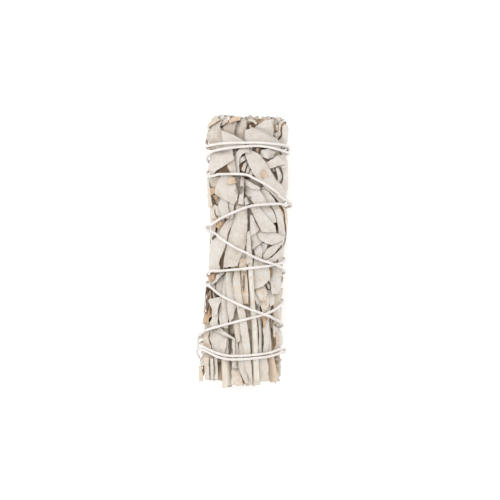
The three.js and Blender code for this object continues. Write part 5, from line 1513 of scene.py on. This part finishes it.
def on_end(x, z, depth):
    """The points, in metres, of places over the leafy end, across and up from its middle."""
    x, z, depth = np.broadcast_arrays(*(np.asarray(a, float) for a in (x, z, depth)))
    y = LEAFY_END - depth - DISHED * (x * x + z * z)
    return np.stack([x + plan_at(y, 1), y, AXIS_HEIGHT + z], axis=-1) * MM


def end_grid():
    """The leafy end as a flat grid, with the leaves that already fold over its rim."""
    grid = Laid(584, 200, -16.5, 0, on_end)
    rows, columns = np.indices(grid.depth.shape)
    x = (columns * grid.cell + GIRTH / 2) % GIRTH - GIRTH / 2
    z = rows * grid.cell + grid.lowest
    around, straight = np.arctan2(x, z), LEAFY_END - SHOULDER
    drop = np.maximum(section_radius(around, straight) - np.hypot(x, z), 0)
    turn = np.arccos(np.clip(1 - drop / SHOULDER, 0, 1))
    v = straight + SHOULDER * turn + np.maximum(0, drop - SHOULDER)
    over = fine.at(around * MEAN_RADIUS, v)
    grid.depth = SHOULDER - (SHOULDER - over) * np.sin(turn) - DISHED * (x * x + z * z)
    return grid


def tip_edges(roll):
    """The two edges of a leaf tip that folds from the rim across the leafy end."""
    turn = roll(-math.pi, math.pi)
    heading = turn + math.pi + roll(-0.9, 0.9)
    start = roll(7, 11.5) * np.array([math.sin(turn), math.cos(turn)])
    length, half, bend = roll(8, 15), roll(1.6, 3.8), roll(-1.5, 1.5)
    widths = (roll(0.7, 1), 1, roll(0.6, 1), roll(0.1, 0.6))
    return leaf_edges(start, 0, heading, length, half, bend, widths)


leafy_end = end_grid()
tips = []
for number in range(FOLDED_TIPS):
    roll = dice(14000 + number)
    tries = [tip_edges(roll) for _ in range(10)]
    left, right = max(tries, key=lambda edges: bare_area(*edges, BARE_END_DEPTH, leafy_end))
    form = {"tone": roll(-1, 1), "age": max(0, roll(-1.2, 0.7)) ** 2, "fold": roll(0, 0.4)}
    form |= {"tuck": roll(-0.7, 0.7), "crinkle": roll(0.05, 0.25)}
    tips.append(add_leaf(left, right, "tip", 14100 + number * 7, laid=leafy_end, **form))
finish_piece(join(tips, "folded_tips"), leaf_skin, "leaf")


# The outer sprigs put together, now that what lies over them is laid: each stem with the bark
# of dried sage, joined to its own leaves, with narrow feet of leaves between the cut stems
def sage_stem():
    """Dried sage stem: pale straw bark with a grey bloom and long fibres, brown at its rings,
    and woody with an orange-brown edge where it was cut. Where it lies deep under the leaves it
    is darkened, which is painted shade."""
    material, tree = new_material("dried sage stem")
    place = node(tree, "ShaderNodeTexCoord").outputs["Object"]
    stored = {}
    for key in ("tone", "age", "deep", "cut", "core", "ring"):
        attribute = node(tree, "ShaderNodeAttribute", {"attribute_name": key})
        stored[key] = attribute.outputs["Fac"]
    lengthways = node(tree, "ShaderNodeMapping", Vector=place, Scale=(1.0, 0.07, 1.0))
    fibres = node(
        tree, "ShaderNodeTexNoise", Vector=lengthways, Scale=1 / (0.385 * MM), Detail=3.0
    )
    clouds = node(tree, "ShaderNodeTexNoise", Vector=place, Scale=1 / (4.17 * MM), Detail=3.0)

    tint = node(tree, "ShaderNodeMath", MULTIPLY_ADD, i0=stored["tone"], i1=0.2, i2=clouds)
    straws = ((0.3, "#cabda8"), (0.5, "#dbd2c3"), (0.7, "#e0ddd3"))
    colour = node(tree, "ShaderNodeValToRGB", stops=straws, Fac=tint)
    streaks = node(tree, "ShaderNodeValToRGB", stops=((0.42, 0.0), (0.7, 0.4)), Fac=fibres)
    rings = node(tree, "ShaderNodeMath", MULTIPLY, i0=stored["ring"], i1=0.35)
    patchy = node(tree, "ShaderNodeMath", SUBTRACT, i0=clouds, i1=0.5)
    clamped = {**MULTIPLY_ADD, "use_clamp": True}
    old = node(tree, "ShaderNodeMath", clamped, i0=patchy, i1=2.0, i2=stored["age"])
    browned = node(tree, "ShaderNodeMath", MULTIPLY, i0=old, i1=0.75)
    for share, over in ((streaks, "#b5a189"), (rings, "#a08468"), (browned, "#cda988")):
        colour = node(tree, "ShaderNodeMix", COLOURS, i0=share, i6=colour, i7=linear(over))
    woods = ((0.05, "#857259"), (0.16, "#c8ae8c"), (0.55, "#d2bd9c"), (0.68, "#e4dac4"))
    wood = node(tree, "ShaderNodeValToRGB", stops=woods, Fac=stored["core"])
    colour = node(tree, "ShaderNodeMix", COLOURS, i0=stored["cut"], i6=colour, i7=wood)
    # Painted shade: stems that lie deep under the leaves are mixed towards a shaded brown.
    depths = {"From_Min": 2.4, "From_Max": 6.0, "To_Max": 0.8}
    share = node(tree, "ShaderNodeMapRange", Value=stored["deep"], **depths)
    colour = node(tree, "ShaderNodeMix", COLOURS, i0=share, i6=colour, i7=linear("#6b5949"))

    bump = node(tree, "ShaderNodeBump", Strength=0.6, Distance=0.15 * MM, Height=fibres)
    skin = node(
        tree,
        "ShaderNodeBsdfPrincipled",
        Base_Color=colour,
        Roughness=0.8,
        Specular_IOR_Level=0.25,
        Normal=bump,
    )
    node(tree, "ShaderNodeOutputMaterial", Surface=skin)
    return material


stem_skin = sage_stem()


def dress(parts, name, *nodes):
    """Joins the stems and the leaves of a sprig into one piece that keeps both finishes."""
    for part in parts:
        part.data.materials.clear()
        part.data.materials.append(stem_skin if "cut" in part.data.attributes else leaf_skin)
    piece = join(parts, name)
    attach(piece, "root")
    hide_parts(*nodes)


for number, (_, leaves) in enumerate(layouts, start=1):
    look = dice(7000 + number)
    name = "sprig_%02d" % number
    parts = [stems[name] if name in stems else outer_stem(number)]
    for k, rows in enumerate(leaves):
        form = {"tone": look(-1, 1), "age": max(0, look(-1.2, 0.8)) ** 2}
        form |= {"fold": look(0.1, 0.5), "tuck": look(-0.5, 0.5)}
        form |= {"lift": look(0, 0.5), "crinkle": look(0.05, 0.2)}
        leaf_seed = 9000 + number * 100 + k * 7
        parts.append(add_leaf(rows[:, 0], rows[:, 2], "leaf", leaf_seed, **form))
    dress(parts, name + "_dried", name)

FEET = 54
DEEPEST_FOOT = 5.5
foot_limits = {"angles": ALL_ROUND, "lengths": (12, 16), "halves": (0.9, 2.4)}
foot_leaves = []
for number in range(FEET):
    roll = dice(12000 + number)
    tries = [loose_edges(roll, places=(-42, -39), lean=0.2, **foot_limits) for _ in range(8)]
    left, right = min(tries, key=lambda edges: float(np.mean(fine.at(*np.array(edges[0]).T))))
    form = {"tone": roll(-1, 1), "age": max(0, roll(-1.0, 0.7)) ** 2, "tuck": roll(-1.6, 1.6)}
    if fine.at(*np.array(left).T).max() < DEEPEST_FOOT:
        foot_leaves.append(add_leaf(left, right, "foot", 13000 + number * 7, True, **form))
finish_piece(join(foot_leaves, "foot_leaves"), leaf_skin, "leaf")

# Inner sprigs: one in the middle and six round it. Each is a stem with its leaves gathered
# lengthways round it, and their tips curl in to close the leafy end.
HEART_SHARES = np.array(  # a place along, and the heart's share of the stick's radius there
    [[-43, 0.5], [5, 0.5], [32.4, 0.5], [36.5, 0.6], [44.8, 0.6], [48.6, 0.42]]
)
INNER_SPRIGS = 7
INNER_SHARE = 1 / 3 - 0.025
INNER_RADII = (1.25, 0.5)
INNER_TOP = 42
INNER_LEAVES = 9


def in_heart(x, z, y):
    """A point of the heart of the stick from its place in a circle of radius one."""
    share = np.interp(y, HEART_SHARES[:, 0], HEART_SHARES[:, 1])
    around = np.arctan2(x, z)
    radius = np.hypot(x, z) * share * section_radius(around, np.minimum(y, 45.5))
    across, up = plan_at(y, 1) + radius * np.sin(around), AXIS_HEIGHT + radius * np.cos(around)
    return np.stack([across, y + 0 * x, up], -1) * MM


def inner_leaf(x0, z0, turn, seed):
    """A long leaf curved round the stem, with a ragged foot and a tip that curls inwards."""
    roll = dice(seed)
    foot, tip = roll(-50, -44), roll(43, 47.5)
    start, sweep, twist = roll(0.25, 0.6), roll(0.6, 1.6), roll(0.8, 1.5)
    curl = roll(0.1, 0.5)
    u, t, layer = points_of(narrow_blank).T
    w, t = (u + 1) / 2, (t + 1) / 2
    y = foot + (tip - foot) * t + ripple(w * 4, t * 3, seed, 1.5, 4) * 0.7 * np.abs(2 * t - 1) ** 6
    reach = (start + (1 - start) * w) * (1 - curl * np.maximum(0, t - 0.85) * 4)
    angle = turn + sweep * w**1.5 + twist * t + 0.1 * ripple(w, t * 10, seed + 3, 2, 7)
    size = INNER_SHARE * (reach + (layer + 0.5) * 0.12)
    shape = in_heart(x0 + size * np.sin(angle), z0 + size * np.cos(angle), y)
    look = {"tone": roll(-1, 1), "age": max(0, roll(-0.8, 0.6))}
    # Painted shade: a slight darkening of the inner leaves, gone towards the leafy end
    look["deep"] = 2.2 - 1.2 * smoothstep(y, 40, 46)
    return copy_of(narrow_blank, "inner_leaf", shape, look)


for k in range(INNER_SPRIGS):
    angle = (k - 1) * math.pi / 3
    reach, foot = (2 / 3, -47.2 - 0.6 * ((k - 1) % 3)) if k else (0, -47.5)
    x0, z0 = reach * math.sin(angle), reach * math.cos(angle)
    look = dice(8000 + k)
    y = np.linspace(foot, INNER_TOP, 50)
    out = np.tile([math.sin(angle), 0.0, math.cos(angle)], (50, 1))
    radii = np.linspace(*INNER_RADII, 50)
    form = {"tone": look(-1, 1), "age": max(0, look(-1, 0.6))}
    # deep feeds the painted shade of deep stems; at these values it stays below where that shade
    # starts
    form["deep"] = 2.0 - smoothstep(y, -44, -49)
    parts = [shape_stem(in_heart(x0, z0, y), out, radii, "stem", 80 + k, **form)]
    for n in range(INNER_LEAVES):
        turn = n / INNER_LEAVES * 2 * math.pi + k * 0.7
        parts.append(inner_leaf(x0, z0, turn, 8100 + k * 20 + n))
    dress(parts, "inner_sprig_%d_dried" % k, "inner_sprig_%d" % k)

for blank in (broad_blank, narrow_blank, stem_form):
    bpy.data.objects.remove(blank)
